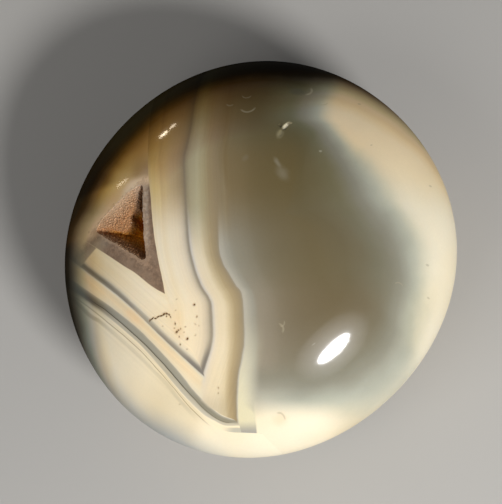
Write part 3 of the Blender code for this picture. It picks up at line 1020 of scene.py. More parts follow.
# The two first grey lines are darkest where they meet
dark_tip = pen.step(distance_from(GREY_LINES_MEET, x, y), 3.6, 1.0)
southern_colour = pen.retouch(
    pen.ramp(east_band, EAST_SOUTHERN),
    (warmer, (0.94, 0.93, 0.91), "MULTIPLY"),
    (dimmer, (0.80, 0.80, 0.80), "MULTIPLY"),
    (dark_tip * pen.step(abs(east_band - 1.0), 0.12, 0.05), (0.66, 0.67, 0.72), "MULTIPLY"))
east_colour = pen.mix(northern, southern_colour, pen.ramp(east_band, EAST_NORTHERN))
print("east bands coloured:", len(EAST_SOUTHERN), "and", len(EAST_NORTHERN), "stops")

# %% [markdown]
# South-west of the vug the same layers are seen again, and more lines lie past them. Towards the
# south edge the grey layer turns olive, and the fine lines in it and past it fade away.

# %% Colours south-west of the vug
olive_grey = pen.zone((along_south, 7.0, 13.0), (south_band, 2.0, 2.5), (south_band, 3.4, 2.9)) * 0.75
no_hairline = pen.zone((along_south, 16.3, 17.3), (abs(south_band - 3.0), 0.22, 0.12))
no_brown_line = pen.zone((along_south, 12.5, 15.0), (abs(south_band - 4.85), 0.30, 0.14))
grey_wedge = pen.zone((along_south, 15.8, 17.6), (south_band, 4.15, 4.4), (south_band, 5.0, 4.96))
bottom_layers = pen.zone((along_south, 3.0, 8.0), (along_south, 14.5, 12.0), (south_band, 4.1, 4.3))
outermost = pen.zone((along_south, 13.5, 16.5), (south_band, 4.9, 5.0))
by_crease = pen.zone((along_south, 8.0, 11.5), (south_band, 1.1, 1.2), (south_band, 2.0, 1.9))
# The grey line south of the vug pales where it passes the crack
by_crack = abs(along_south + 1.2)
paler = pen.zone((by_crack, 3.6, 0.6), (south_band, 0.88, 0.95), (south_band, 1.16, 1.10)) * 0.45
far_west = pen.step(along_south, -3.5, -11.5)
from_olive = across_south - measured_line(along_south, OLIVE_BAND)
olive = pen.zone((abs(from_olive), 0.42, 0.12), (along_south, 13.5, 10.5)) * (0.25 + far_west * 0.5)
south_colour = pen.retouch(
    pen.ramp(south_band, SOUTH_WEST),
    (dark_tip * pen.step(abs(south_band - 1.06), 0.12, 0.06), (0.72, 0.73, 0.78), "MULTIPLY"),
    (olive_grey, (0.25, 0.225, 0.16)),
    (no_hairline, (0.36, 0.335, 0.265)),
    (no_brown_line, (0.86, 0.755, 0.55)),
    (grey_wedge, (0.50, 0.475, 0.39)),
    (bottom_layers, (0.90, 0.88, 0.83), "MULTIPLY"),
    (outermost, SOUTH_EDGE_CREAM),
    (by_crease, (0.89, 0.935, 0.97), "MULTIPLY"),
    (far_west, pen.ramp(south_band, SOUTH_FAR_WEST)),
    (olive, (0.36, 0.32, 0.22)),
    (paler, (0.50, 0.46, 0.36)))
print("south-west bands coloured:", len(SOUTH_WEST), "and", len(SOUTH_FAR_WEST), "stops")

# %% [markdown]
# The middle of the stone is clear, smoky chalcedony. Where it thins out over the milky layers
# below, light scatters back blue, like smoke against the dark, and then the cream shows through.
# So the colour follows the distance from the heart's border, drawn round a middle. Next to the
# bands the heart is veiled by thin milky sheets, which get rarer towards the east.

# %% The clear heart
HEART_MIDDLE = (6.87, 0.0)
# The border's distance from that middle for each direction in degrees
HEART_BORDER = ((-180.0, 27.5), (-140.0, 27.0), (-99.1, 23.45), (-81.3, 22.7), (-66.8, 22.55), (-52.9, 21.7),
                (-40.9, 19.4), (-26.8, 17.5), (-13.9, 14.7), (1.9, 12.25), (18.0, 11.05), (32.5, 11.1),
                (46.0, 11.9), (64.5, 13.7), (75.0, 18.0), (80.0, 20.4), (87.0, 24.63), (117.1, 29.65),
                (180.0, 27.5))
# In the north-east the border runs straight away from the middle: a place east for each place north
NORTH_EAST_RISE = 1.3
NORTH_EAST_BORDER = ((8.0, 15.3), (12.4, 12.4), (14.4, 10.6), (16.6, 9.4), (18.5, 9.6), (20.7, 10.3),
                     (25.0, 10.8), (30.0, 10.6))
# How fast the cream comes up past the border, for each direction
CREAM_RISE = ((-180.0, 1.4), (-75.0, 1.25), (-62.0, 1.1), (-45.0, 1.2), (-30.0, 1.2), (-12.0, 0.95),
              (3.0, 1.1), (15.0, 1.2), (32.0, 1.2), (50.0, 1.7), (68.0, 1.8), (80.0, 1.25), (180.0, 1.2))
# How thick the veil is, for each distance from the bands
VEIL = ((0.0, 0.90), (1.0, 0.74), (2.0, 0.57), (3.0, 0.38), (5.0, 0.19), (7.0, 0.09), (10.0, 0.0))
HEART_DEPTHS = (
    (-10.0, (0.82, 0.70, 0.47)), (-7.5, (0.79, 0.68, 0.46)), (-5.8, (0.68, 0.60, 0.42)),
    (-4.4, (0.55, 0.52, 0.385)), (-3.2, (0.455, 0.45, 0.355)), (-2.2, (0.38, 0.38, 0.305)),
    (-1.2, (0.31, 0.305, 0.243)), (0.0, (0.246, 0.234, 0.18)), (1.4, (0.203, 0.19, 0.137)),
    (3.2, (0.172, 0.158, 0.105)), (5.5, (0.158, 0.136, 0.083)), (8.5, (0.146, 0.12, 0.066)),
    (14.0, (0.15, 0.118, 0.06)))

bearing = bearing_from(HEART_MIDDLE, x, y)
inside_heart = measured_line(bearing, HEART_BORDER) - below * 0.25 + sway(2.6, 0.10, 3.0)
inside_heart = inside_heart - distance_from(HEART_MIDDLE, x, y)
outside_heart = inside_heart.with_math("MINIMUM", 0.0)
inside_heart = inside_heart + outside_heart * (measured_line(bearing, CREAM_RISE) - 1.0)
inside_north_east = (measured_line(y, NORTH_EAST_BORDER) - x) * NORTH_EAST_RISE
in_north = pen.step(y, 10.5, 15.5)
inside_heart = inside_heart * (1.0 - in_north) + inside_north_east * in_north
veil = measured_line(x - heart_edge, VEIL) * pen.step(inside_heart, -1.0, 3.5)
veil_colour = pen.mix(pen.step(y, -6.0, 5.0), (0.295, 0.27, 0.205), (0.264, 0.205, 0.127))
rosy = pen.zone((y, 2.0, 13.0), (inside_heart, -2.0, -6.0)) * 0.8
smoky = pen.zone((y, -4.0, 6.0), (inside_heart, 0.0, 3.0))
# Towards the north it turns olive, and towards the south edge brownish
olive_north = pen.zone((y, 8.0, 14.0), (x, -3.0, 0.5), (inside_heart, 0.0, 3.0))
brown_south = pen.zone((y, -7.0, -13.0), (inside_heart, 0.5, 3.5))
# Painted shade: the cream darkens towards the south-east edge, where the dome turns down
painted_edge_shade = pen.zone((x - y, 32.0, 41.0), (inside_heart, -0.5, -3.5))
pale_side = pen.zone((x, 15.0, 24.0), (y, 8.0, 1.0), (inside_heart, -2.5, -6.5)) * 0.55
heart_colour = pen.retouch(
    pen.ramp(inside_heart, HEART_DEPTHS),
    (veil, veil_colour),
    (rosy, (0.87, 0.69, 0.44)),
    (smoky, (0.94, 0.90, 0.73), "MULTIPLY"),
    (olive_north, (0.90, 0.97, 1.04), "MULTIPLY"),
    (brown_south, (1.00, 0.94, 0.91), "MULTIPLY"),
    (painted_edge_shade, (0.87, 0.87, 0.885), "MULTIPLY"),
    (pale_side, (0.80, 0.75, 0.61)))
print("heart coloured:", len(HEART_DEPTHS), "stops")

# %% [markdown]
# East of the bands the heart begins, and the two families of bands meet at the crease. In the far
# south the milky layer past the tan one is thick and white, and a cream layer lies against it.

# %% Bands and heart together
# In the north the tan layer has no edge: it melts into the heart
band_end = 3.6 - pen.step(y, 3.0, 9.0) * 0.9
past_tan = x - tan_edge
milky_south = pen.zone((y, -21.5, -26.5), (past_tan, 0.0, 0.4), (past_tan, 9.0, 3.0),
                       (inside_heart, -5.0, -2.5)) * 0.9
south_cream = pen.zone((y, -24.4, -27.2), (past_tan, 2.15, 2.6), (x, 15.0, 9.0))
white_foot = pen.step(y, -25.0, -26.5)
whitest = pen.zone((y, -13.0, -26.0), (past_tan, 0.0, 0.25),
                   (past_tan, 3.2 - white_foot * 0.35, 0.5 + white_foot * 1.75))
grey_foot = pen.zone((y, -27.0, -28.5), (past_tan, -0.1, 0.3), (past_tan, 2.7, 2.5))
east_colour = pen.retouch(
    east_colour,
    (pen.step(east_band, band_end, 4.0), heart_colour),
    (milky_south, (0.50, 0.465, 0.365)),
    (south_cream, (0.80, 0.71, 0.53)),
    (whitest, (0.68, 0.63, 0.445)),
    (grey_foot, (0.36, 0.345, 0.30)))
banded = pen.mix(past_crease, south_colour, east_colour)
print("bands and heart joined")

# %% [markdown]
# Round the vug the last layer is coarse quartz, mauve-brown and slightly clear. It fills the
# corner between the two families of bands and fades into cream towards the north-west, where
# iron has stained the layers gold.

# %% The quartz corner
QUARTZ_MAUVE = (0.316, 0.21, 0.136)
QUARTZ_DUSK = (0.205, 0.135, 0.09)
PINKISH = (0.92, 0.69, 0.455)
NORTH_WEST_CREAM = (0.95, 0.74, 0.44)
NORTH_WEST = Vector((-0.564, 0.826))
VUG_EDGE_REACH = 13.6
QUARTZ_EDGE = 0.06
VUG_EAST_EDGE = -13.0

towards_rim = x * NORTH_WEST.x + y * NORTH_WEST.y + sway(1.2, 0.7, 3.0)
quartz_grain = soft_noise(1.6, 3.0, roughness=0.65)
quartz_colour = pen.mix(pen.step(quartz_grain, 0.30, 0.72), QUARTZ_DUSK, QUARTZ_MAUVE)
lighter = pen.step(soft_noise(0.35), 0.45, 0.65)
quartz_colour = pen.mix(lighter * 0.4, quartz_colour, (0.35, 0.25, 0.17))
before_south = quartz_south - across_south
in_quartz = pen.zone((quartz_east - x, -QUARTZ_EDGE, QUARTZ_EDGE), (before_south, -QUARTZ_EDGE, QUARTZ_EDGE),
                     (y, -11.4, -10.9))
# The first cream layer in the south-west ends bluntly at the quartz
blunt_end = pen.zone((along_south + (across_south - 16.2) * 0.24, -14.75, -15.1), (across_south, 20.2, 18.6),
                     (before_south, QUARTZ_EDGE, -QUARTZ_EDGE)) * (1.0 - past_crease)
# North-west of the vug the quartz turns pinkish beige and then cream
pinkish = pen.step(towards_rim, VUG_EDGE_REACH + 3.4, VUG_EDGE_REACH + 1.2)
north_tip = pen.zone((y, 7.0, 8.5), (y, 13.0, 9.0)) * (0.70 - pen.step(abs(x + 17.8), 2.8, 0.8) * 0.35)
inner_corner = pen.step(towards_rim, VUG_EDGE_REACH + 0.3, VUG_EDGE_REACH - 1.6)
# Polish cuts through white, broken crystals along the vug's east edge
from_east_edge = x - VUG_EAST_EDGE + (y + 5.5) * 0.08
east_rim = pen.zone((from_east_edge, -1.0, -0.5), (from_east_edge, 0.9, 0.2), (y, -4.5, -1.0), (y, 7.2, 5.2))
broken = pen.node("ShaderNodeTexVoronoi", sockets={"Vector": place, "Scale": 2.6}, out="Color")
white_crumbs = east_rim * pen.step(pen.parts(broken)[0], 0.50, 0.95)
# Crumbs of the druse's pinkish quartz scatter round the mouth
mouth_sides = []
for corner, after in ((MOUTH_WEST, MOUTH_NORTH), (MOUTH_NORTH, MOUTH_SOUTH), (MOUTH_SOUTH, MOUTH_WEST)):
    side = (Vector(after) - Vector(corner)).normalized()
    mouth_sides.append((y - corner[1]) * side.x - (x - corner[0]) * side.y)
off_mouth = mouth_sides[0].with_math("MAXIMUM", mouth_sides[1]).with_math("MAXIMUM", mouth_sides[2])
crumbs = pen.step(off_mouth + sway(2.4, 2.2, 3.0), 0.70, 0.20)
# At the west end the quartz is greyer, and runs on to the first grey line
grey_west = pen.zone((y, 1.0, -3.0), (along_south, -12.5, -15.5))
corner_colour = pen.retouch(
    NORTH_WEST_CREAM,
    (pinkish, PINKISH),
    (north_tip, (0.41, 0.285, 0.165)),
    (inner_corner, quartz_colour),
    (east_rim * 0.6, (0.42, 0.33, 0.255)),
    (white_crumbs * 0.6, (0.72, 0.59, 0.46)),
    (crumbs * 0.45, (0.52, 0.35, 0.225)),
    (grey_west * 0.8, (0.45, 0.39, 0.29)))
banded = pen.mix(in_quartz.with_math("MAXIMUM", blunt_end), banded, corner_colour)
print("quartz corner drawn")

# %% [markdown]
# Within one colour the layers are never even. A one-dimensional noise across the bands gives the
# fine parallel lines, a slow noise gives clouds, and a fine one gives the grain of the chalcedony.

# %% Fine banding, clouds and grain
# The noise for the one family lies this far from the noise for the other, so that no line is shared
FAMILY_GAP = 31.0


def by_family(east, south):
    """One value past the crease and another before it."""
    return past_crease * east + (1.0 - past_crease) * south


across_all = by_family(x - first_line_east, across_south + FAMILY_GAP)
fine_lines = pen.node("ShaderNodeTexNoise", {"noise_dimensions": "1D"},
                      {"W": across_all, "Scale": 2.4, "Detail": 3.0, "Roughness": 0.6})
near_bands = by_family(pen.step(x, 2.0, -3.0), pen.step(across_south, 27.0, 23.0))
near_bands = near_bands * pen.step(along_south, 17.0, 13.0).with_math("MAXIMUM", past_crease)
lines_show = near_bands * (1.0 - in_quartz) * (0.3 + soft_noise(0.12))
lightness = 1.0 + (fine_lines - 0.5) * lines_show * 0.20
lightness = lightness + sway(0.12, 0.16, 3.0) + sway(0.08, 2.8, 3.0, roughness=0.7)
milky_part = pen.step(inside_heart, 1.0, -4.0).with_math("MAXIMUM", pen.step(east_band, 3.95, 3.6))
drift = pen.step(soft_noise(0.05, where=pen.vector("ADD", place, (7.0, 80.0, 5.0))), 0.40, 0.66)
mottled = pen.mix(drift * milky_part * 0.8, pen.scaled(banded, lightness), (1.0, 0.955, 0.86), "MULTIPLY")
print("nodes so far:", len(agate.node_tree.nodes))

# %% [markdown]
# The north-west rim is the outside of the nodule: clear gold chalcedony that turns smoky brown.
# Further out, where the rim turns away from the light, it goes on to almost black, and that part is
# painted shade. It multiplies the layers under it, so that they show faintly through the gold. Low on
# the south-west side the layers turn clear and bluish instead, and darker there as painted shade.

# %% The smoky rim and the bluish side, both partly painted shade
RIM_MIDDLE = (4.0, -6.0, 30.0)
RIM_FACING = 120.0
RIM_LOWEST = 20.0
# Where the rim's gold turns brown: the distance from that middle for each bearing off the facing
RIM_BORDER = ((-100.0, 36.0), (-80.0, 34.0), (-73.0, 32.9), (-58.0, 32.0), (-50.0, 31.5), (-43.0, 29.9),
              (-38.0, 29.0), (-28.0, 28.5), (-13.0, 28.6), (2.0, 28.5), (16.0, 28.0), (22.0, 28.0),
              (27.0, 28.8), (32.0, 28.8), (36.0, 28.8), (41.0, 29.9), (47.0, 30.8), (62.0, 30.5),
              (78.0, 32.0), (95.0, 36.0))
# The stain ramps run from the real gold and brown stains to an almost black end, which is painted shade where
# the rim turns away from the light
GOLD_STAIN_AND_SHADE = ((-9.5, (1.0, 1.0, 1.0)), (-8.3, (0.92, 0.86, 0.85)), (-7.0, (0.83, 0.75, 0.68)),
              (-6.0, (0.79, 0.69, 0.57)), (-5.0, (0.72, 0.62, 0.47)), (-4.0, (0.66, 0.55, 0.38)),
              (-3.0, (0.60, 0.47, 0.275)), (-2.0, (0.53, 0.385, 0.19)), (-1.0, (0.46, 0.315, 0.12)),
              (0.0, (0.35, 0.22, 0.06)), (1.0, (0.243, 0.143, 0.030)), (2.0, (0.132, 0.082, 0.019)),
              (3.0, (0.062, 0.044, 0.016)), (4.2, (0.042, 0.040, 0.022)))
WEST_STAIN_AND_SHADE = ((-5.0, (1.0, 1.0, 1.0)), (-4.0, (0.88, 0.80, 0.60)), (-3.0, (0.87, 0.76, 0.49)),
              (-2.0, (0.84, 0.71, 0.39)), (-1.0, (0.72, 0.56, 0.23)), (0.0, (0.49, 0.33, 0.10)),
              (1.0, (0.22, 0.135, 0.032)), (2.0, (0.075, 0.046, 0.010)),
              (3.0, (0.033, 0.022, 0.008)), (4.2, (0.026, 0.020, 0.009)))
BROWN_STAIN_AND_SHADE = ((-6.5, (1.0, 1.0, 1.0)), (-5.0, (0.98, 0.93, 0.83)), (-4.0, (0.90, 0.82, 0.70)),
               (-3.0, (0.86, 0.79, 0.70)), (-2.0, (0.70, 0.67, 0.53)), (-1.0, (0.52, 0.48, 0.34)),
               (0.0, (0.33, 0.285, 0.18)), (1.0, (0.18, 0.133, 0.075)), (2.0, (0.080, 0.056, 0.028)),
               (3.0, (0.055, 0.033, 0.011)), (4.2, (0.035, 0.025, 0.012)))
LOW_RIM = (0.34, 0.225, 0.13)
BLUISH_AND_SHADE = (0.265, 0.32, 0.37)
# The bluish side begins at this distance from its own middle for each bearing
SIDE_MIDDLE = (4.0, 2.0)
SIDE_BORDER = ((-180.0, 36.0), (-174.0, 29.8), (-165.0, 30.0), (-152.8, 30.3), (-140.0, 33.0), (-130.0, 33.4),
               (-119.6, 33.2), (-100.0, 36.0), (-80.0, 50.0))

rim_level = STONE_Z.with_math("MAXIMUM", RIM_LOWEST) - RIM_MIDDLE[2]
rim_bearing = bearing_from(RIM_MIDDLE, STONE_X, STONE_Y, RIM_FACING)
rim_reach = distance_from(RIM_MIDDLE, STONE_X, STONE_Y, rim_level)
past_rim = rim_reach - measured_line(rim_bearing, RIM_BORDER) + sway(1.2, 0.22, 3.0)
golden = pen.zone((rim_bearing, -38.0, -24.0), (rim_bearing, 40.0, 28.0))
rim_stain_and_shade = pen.retouch(
    pen.ramp(past_rim, BROWN_STAIN_AND_SHADE),
    (golden, pen.ramp(past_rim, GOLD_STAIN_AND_SHADE)),
    (pen.step(rim_bearing, 15.0, 27.0) * golden, pen.ramp(past_rim, WEST_STAIN_AND_SHADE)),
    (pen.zone((STONE_Z, 16.0, 6.0), (past_rim, -1.0, 2.0)) * 0.85, LOW_RIM))
side_bearing = bearing_from(SIDE_MIDDLE, STONE_X, STONE_Y)
past_side = distance_from(SIDE_MIDDLE, STONE_X, STONE_Y) - measured_line(side_bearing, SIDE_BORDER)
# Partly colour, partly painted shade: low on the south-west side, away from the light, the layers turn bluish
# and darker
bluish_and_shade = pen.step(past_side + sway(1.4, 0.12), -2.2, 2.4)
stained_and_shaded = pen.retouch(mottled, (bluish_and_shade * 0.85, BLUISH_AND_SHADE), (1.0, rim_stain_and_shade, "MULTIPLY"))
print("rim drawn")

# %% [markdown]
# A few small stains, specks and old knocks lie on the dome or just under it: an orange stain, dark
# specks in the cream, a whitish feather, and crescents where the stone once hit another. They are
# only colour, so each is a mask. A bright cream patch on the chip is partly a milky spot and
# partly a painted glint on its facet. The pits that can be felt are already dents in the skin. The
# attribute they left there marks the rust in and round them.

# %% Stains, specks and crescents
on_dome = pen.step(STONE_Z, 17.0, 20.0)
ragged = sway(0.7, 1.3, 3.0)
CRESCENT_COLOUR = (0.42, 0.37, 0.25)
RUST_COLOUR = (0.17, 0.085, 0.03)


def patch(at, length, width, turn, soft):
    """1 inside an ellipse on the dome and 0 outside it: half length and half width in millimetres."""
    along, across = turned(STONE_X - at[0], STONE_Y - at[1], turn)
    reach = ((along / length) ** 2.0 + (across / width) ** 2.0) ** 0.5 + ragged
    return pen.step(reach, 1.0 + soft, 1.0 - soft) * on_dome


def crescent(at, radius, turn, thickness):
    """A thin arc round a place, open on the side away from turn."""
    off_ring = abs(distance_from(at, STONE_X, STONE_Y) - radius)
    along, _ = turned(STONE_X - at[0], STONE_Y - at[1], turn)
    return pen.zone((off_ring, thickness * 1.6, thickness * 0.4), (along / radius, 0.2, 0.75)) * on_dome


# Place, half length, half width, turn, softness, strength, colour
PATCHES = (
    ((4.60, -26.95), 0.95, 0.65, 15.0, 0.8, 0.28, (0.78, 0.46, 0.24)),
    ((-15.39, -12.72), 1.50, 0.70, -40.0, 0.7, 0.40, (0.92, 0.60, 0.30)),
    ((-9.00, -13.60), 1.60, 1.00, -65.0, 0.9, 0.22, (0.80, 0.52, 0.22)),
    ((-8.60, -15.50), 0.90, 0.60, -40.0, 0.9, 0.25, (0.74, 0.45, 0.20)),
    ((5.85, 7.95), 0.75, 0.26, -62.0, 0.9, 0.55, (0.30, 0.27, 0.19)),
    ((6.55, 6.30), 1.00, 0.62, -60.0, 0.9, 0.32, (0.33, 0.30, 0.22)),
    # Partly a milky spot and partly a painted glint: the bright cream patch on the chip
    ((6.85, 14.10), 0.52, 0.26, 55.0, 0.6, 0.85, (0.95, 0.86, 0.62)),
    ((7.35, 14.55), 0.34, 0.16, 10.0, 0.6, 0.60, (0.75, 0.62, 0.38)),
    ((6.10, 12.75), 0.62, 0.40, 75.0, 0.8, 0.50, (0.42, 0.37, 0.22)),
    ((6.05, 14.35), 0.30, 0.30, 0.0, 0.7, 0.50, (0.07, 0.055, 0.03)),
    ((8.20, 20.65), 1.10, 0.60, -8.0, 0.5, 0.45, (0.08, 0.075, 0.055)),
    ((25.90, -5.70), 0.20, 0.15, 0.0, 0.5, 0.45, (0.30, 0.26, 0.18)),
    ((25.78, -10.10), 0.18, 0.14, 0.0, 0.5, 0.45, (0.30, 0.26, 0.18)),
    ((18.78, 11.56), 0.18, 0.12, 30.0, 0.5, 0.40, (0.35, 0.27, 0.15)),
    ((26.73, 6.59), 0.20, 0.16, 0.0, 0.5, 0.40, (0.35, 0.27, 0.15)),
    ((16.94, 19.26), 0.22, 0.16, 0.0, 0.5, 0.40, (0.35, 0.27, 0.15)),
    ((11.80, 9.85), 0.20, 0.16, 0.0, 0.5, 0.55, (0.42, 0.40, 0.30)),
    ((1.30, 8.90), 0.50, 0.35, 60.0, 0.8, 0.25, (0.26, 0.23, 0.17)),
    ((10.14, -17.63), 0.30, 0.08, 35.0, 0.5, 0.35, (0.34, 0.31, 0.24)),
)
# Place, radius, direction, thickness, strength
CRESCENTS = (((4.60, -26.85), 0.62, 50.0, 0.12, 0.55), ((1.20, 17.95), 1.10, -85.0, 0.13, 0.40),
             ((9.40, 20.95), 0.80, -25.0, 0.16, 0.40), ((11.85, 18.95), 0.75, -90.0, 0.08, 0.55),
             ((0.85, 20.30), 0.70, -95.0, 0.09, 0.22), ((-1.50, 18.80), 0.50, -100.0, 0.12, 0.22),
             ((21.90, -9.3), 0.50, 80.0, 0.08, 0.30), ((5.60, -15.7), 0.60, 20.0, 0.14, 0.35),
             ((5.95, -14.9), 0.45, -40.0, 0.10, 0.30))

rust = pen.node("ShaderNodeAttribute", {"attribute_name": "rust"}, out="Fac")
patches = [(patch(*shape) * strength, colour) for *shape, strength, colour in PATCHES]
crescents = [(crescent(*shape) * strength, CRESCENT_COLOUR) for *shape, strength in CRESCENTS]
marked = pen.retouch(stained_and_shaded, *patches, *crescents, ((rust * 1.25).clamped(), RUST_COLOUR))
print("marks:", len(PATCHES) + len(CRESCENTS))

# %% [markdown]
# The polish is a glassy coat over a slightly softer surface, which gives a sharp highlight inside
# a faint haze. Light also goes a short way into the chalcedony, so a little subsurface scattering
# softens its shadows. The pits stay rough, and a very shallow ripple is left from the last wheel.

# %% The polish
QUARTZ_IOR = 1.54


def set_shader(material, values, wires):
    """Set the plain values of a material's shader and link what varies."""
    shader = material.node_tree.nodes["Principled BSDF"]
    for name, value in values.items():
        shader.inputs[name].default_value = value
    for name, wire in wires.items():
        material.node_tree.links.new(wire.socket, shader.inputs[name])


roughness = 0.30 + sway(0.08, 0.4, 3.0) + rust * 0.4
# The sides and the dark rim took less of the polish
coat = 0.60 - pen.step(STONE_Z, 30.0, 20.0) * 0.28
coat = coat * (1.0 - pen.step(past_rim, -1.0, 2.5) * 0.92) * (1.0 - rust * 1.5).clamped()
ripples = soft_noise(0.5) + soft_noise(6.0) * 0.10
ripple = pen.node("ShaderNodeBump", sockets={"Strength": 0.06, "Distance": 0.02 * MM, "Height": ripples})
AGATE_VALUES = {
    "IOR": QUARTZ_IOR, "Specular IOR Level": 0.0, "Coat Roughness": 0.08, "Coat IOR": QUARTZ_IOR,
    "Subsurface Weight": 0.12, "Subsurface Radius": (1.0, 0.75, 0.5), "Subsurface Scale": 0.9 * MM}
set_shader(agate, AGATE_VALUES,
           {"Base Color": marked, "Roughness": roughness, "Coat Weight": coat, "Normal": ripple})
print("agate nodes:", len(agate.node_tree.nodes))

# %% [markdown]
# The vug's crystals are quartz too, but iron has coated them pinkish tan and rust brown. Their
# colour also darkens down the pocket as painted shade, and deepest down it turns a saturated rust red
# as painted light bounced round the brown pocket. Each crystal differs a little in tone and catches
# the light with flat, glossy faces. Along the east edge they are broken and nearly white.

# %% The crystals' finish
# By depth: the iron coat, darkened down the pocket as painted shade, and deepest a saturated red as painted
# bounce light
IRON_COAT_AND_SHADE_BY_DEPTH = ((-0.2, (0.78, 0.57, 0.38)), (0.15, (0.76, 0.52, 0.33)), (0.5, (0.59, 0.36, 0.205)),
                  (0.9, (0.49, 0.255, 0.12)), (1.7, (0.41, 0.20, 0.083)), (2.6, (0.52, 0.225, 0.04)),
                  (3.8, (0.70, 0.25, 0.008)), (6.0, (0.60, 0.20, 0.005)))
BROKEN_WHITE = (0.55, 0.45, 0.36)

brush = Bench(druse.node_tree)
crystal_place = brush.vector("MULTIPLY", brush.node("ShaderNodeTexCoord", out="Object"), (1.0 / MM,) * 3)
crystal_x, crystal_y, _ = brush.parts(crystal_place)
from_mouth = brush.vector("SUBTRACT", crystal_place, tuple(VUG_MIDDLE))
crystal_depth = 0.0 - brush.vector("DOT_PRODUCT", from_mouth, tuple(VUG_OUT), out="Value")
from_east_side = crystal_x + 14.1 + (crystal_y + 6.0) * 0.089
east_side = brush.zone((from_east_side, -0.7, 0.2), (crystal_depth, 1.6, 0.2), (crystal_y, -4.5, 0.0))
depth_shaded_tint = brush.mix(east_side * 0.45, brush.ramp(crystal_depth, IRON_COAT_AND_SHADE_BY_DEPTH), BROKEN_WHITE)
tone = brush.node("ShaderNodeAttribute", {"attribute_name": "tone"}, out="Fac")
speckle = brush.node("ShaderNodeTexNoise", sockets={"Vector": crystal_place, "Scale": 2.0, "Detail": 3.0})
brightness = 0.76 + tone * 0.30 + (speckle - 0.5) * 0.6
facet_roughness = 0.30 + (1.0 - tone) * 0.30
CRYSTAL_VALUES = {
    "IOR": QUARTZ_IOR, "Specular IOR Level": 0.25, "Subsurface Weight": 0.1,
    "Subsurface Radius": (1.0, 0.6, 0.3), "Subsurface Scale": 0.3 * MM}
set_shader(druse, CRYSTAL_VALUES,
           {"Base Color": brush.scaled(depth_shaded_tint, brightness), "Roughness": facet_roughness})
print("crystal nodes:", len(druse.node_tree.nodes))

# %% [markdown]
# The floor is a plain pale sheet under the stone. The main light is one soft panel, low enough
# towards the near right to draw one long gloss on the dome, as in the photograph. Round the gloss
# lies a faint glow without an edge, from a wide panel that shines mostly straight ahead. Three small
# low panels at the far left draw the small glints there. A large one at the near left, which isn't
# mirrored, and a grey sky fill the shadows.

# %% Floor, lights and camera
CAMERA_AZIMUTH = -60.0
CAMERA_ELEVATION = 70.0
CAMERA_DISTANCE = 200.0
PHOTO_SIZE = (502, 504)
PHOTO_MM_PER_PIXEL = 60.0 / 394.0
STONE_IN_PHOTO = (256.76, 253.5)
SENSOR_MM = 36.0
LIGHT_DISTANCE = 420.0
WHITE = (1.0, 1.0, 1.0)
GLINT_COLOUR = (1.0, 0.84, 0.62)
# Where the gloss lies on the dome, and the azimuth and elevation of what it mirrors
GLOSS = ((12.9, -18.2), -49.2, 36.6)
GLOSS_ROLL = 6.0
GLOW_SPREAD = math.radians(35.0)
FLOOR_SIZE = 3.0
FLOOR_COLOUR = (0.46, 0.445, 0.42, 1.0)
SKY_COLOUR = (0.95, 0.97, 1.0, 1.0)
SKY_STRENGTH = 0.14


def direction(azimuth, elevation):
    """A direction from two angles in degrees: azimuth from +X towards +Y, elevation from level."""
    turn, rise = math.radians(azimuth), math.radians(elevation)
    return Vector((math.cos(turn) * math.cos(rise), math.sin(turn) * math.cos(rise), math.sin(rise)))


def stand(thing, axes, place):
    """Put a light or a camera at a place in millimetres, turned to the axes in a matrix's columns."""
    turn = axes.to_4x4()
    turn.translation = place * MM
    thing.matrix_world = turn
    bpy.context.scene.collection.objects.link(thing)


def add_panel(name, gloss, size, power, roll=0.0, shape="RECTANGLE", colour=WHITE):
    """A soft panel light that faces a place on the dome from an azimuth and an elevation in degrees."""
    place_on_dome, azimuth, elevation = gloss
    light = bpy.data.lights.new(name, "AREA")
    light.shape = shape
    light.size, light.size_y = (side * MM for side in size)
    light.energy = power
    light.color = colour
    panel = bpy.data.objects.new(name, light)
    towards = direction(azimuth, elevation)
    side = Vector((0.0, 0.0, 1.0)).cross(towards).normalized()
    axes = Matrix((side, towards.cross(side), towards)).transposed()
    target = Vector((*place_on_dome, dome_height(*place_on_dome)))
    stand(panel, axes @ Matrix.Rotation(math.radians(roll), 3, "Z"), target + towards * LIGHT_DISTANCE)
    return panel


def add_floor():
    """A plain pale floor."""
    bpy.ops.mesh.primitive_plane_add(size=FLOOR_SIZE)
    floor = bpy.context.object
    floor.name = "floor"
    material = bpy.data.materials.new("pale_floor")
    material.use_nodes = True
    set_shader(material, {"Base Color": FLOOR_COLOUR, "Roughness": 0.9}, {})
    floor.data.materials.append(material)


def add_sky():
    """An even grey sky."""
    world = bpy.data.worlds.new("studio")
    world.use_nodes = True
    background = world.node_tree.nodes["Background"]
    background.inputs["Color"].default_value = SKY_COLOUR
    background.inputs["Strength"].default_value = SKY_STRENGTH
    bpy.context.scene.world = world


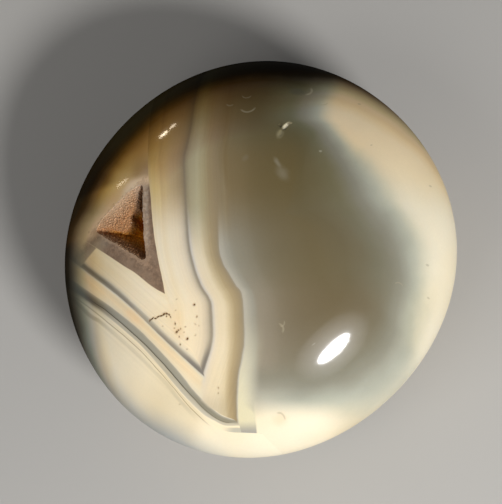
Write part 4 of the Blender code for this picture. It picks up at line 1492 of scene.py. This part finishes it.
def add_camera():
    """A camera where the photograph's was, so that the stone falls on the same pixels."""
    back = direction(CAMERA_AZIMUTH, CAMERA_ELEVATION)
    up = Vector((0.0, 1.0, 0.0))
    up = (up - back * up.dot(back)).normalized()
    right = up.cross(back)
    off_x = (STONE_IN_PHOTO[0] - PHOTO_SIZE[0] / 2.0) * PHOTO_MM_PER_PIXEL
    off_y = (PHOTO_SIZE[1] / 2.0 - STONE_IN_PHOTO[1]) * PHOTO_MM_PER_PIXEL
    aim = Vector((-OUTLINE_SHIFT, 0.0, BELLY_DEPTH)) - right * off_x - up * off_y
    camera = bpy.data.objects.new("camera", bpy.data.cameras.new("camera"))
    camera.data.sensor_width = SENSOR_MM
    camera.data.lens = SENSOR_MM * CAMERA_DISTANCE / (max(PHOTO_SIZE) * PHOTO_MM_PER_PIXEL)
    camera.data.clip_start = 0.01
    stand(camera, Matrix((right, up, back)).transposed(), aim + back * CAMERA_DISTANCE)
    bpy.context.scene.camera = camera


add_floor()
add_sky()
add_panel("key_panel", GLOSS, (116.0, 62.0), 2.0, GLOSS_ROLL, "ELLIPSE")
glow_panel = add_panel("glow_panel", GLOSS, (300.0, 240.0), 0.055, GLOSS_ROLL, "ELLIPSE")
glow_panel.data.spread = GLOW_SPREAD
glow_panel.visible_diffuse = False
fill_panel = add_panel("fill_panel", ((0.0, 0.0), -130.0, 44.0), (260.0, 200.0), 0.45)
fill_panel.visible_glossy = False
# The small panels: name, the place and direction of the glint, size, power and roll
GLINTS = (("left_glint_panel", ((-11.4, 14.7), 126.0, 14.1), (20.0, 12.0), 0.03, 0.0),
          ("far_glint_panel", ((-10.1, 15.9), 122.7, 13.4), (14.0, 12.0), 0.012, 0.0),
          ("streak_panel", ((-17.6, 7.5), 144.3, 13.5), (42.0, 8.0), 0.011, -55.0))
for glint in GLINTS:
    add_panel(*glint, colour=GLINT_COLOUR)
add_camera()
bpy.context.scene.view_settings.view_transform = "Standard"
print("lights:", len(bpy.data.lights))

# %% Hand over
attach(stone, "root")
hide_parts(STONE_NODE)
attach(crust, "root")
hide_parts(CRUST_NODE)
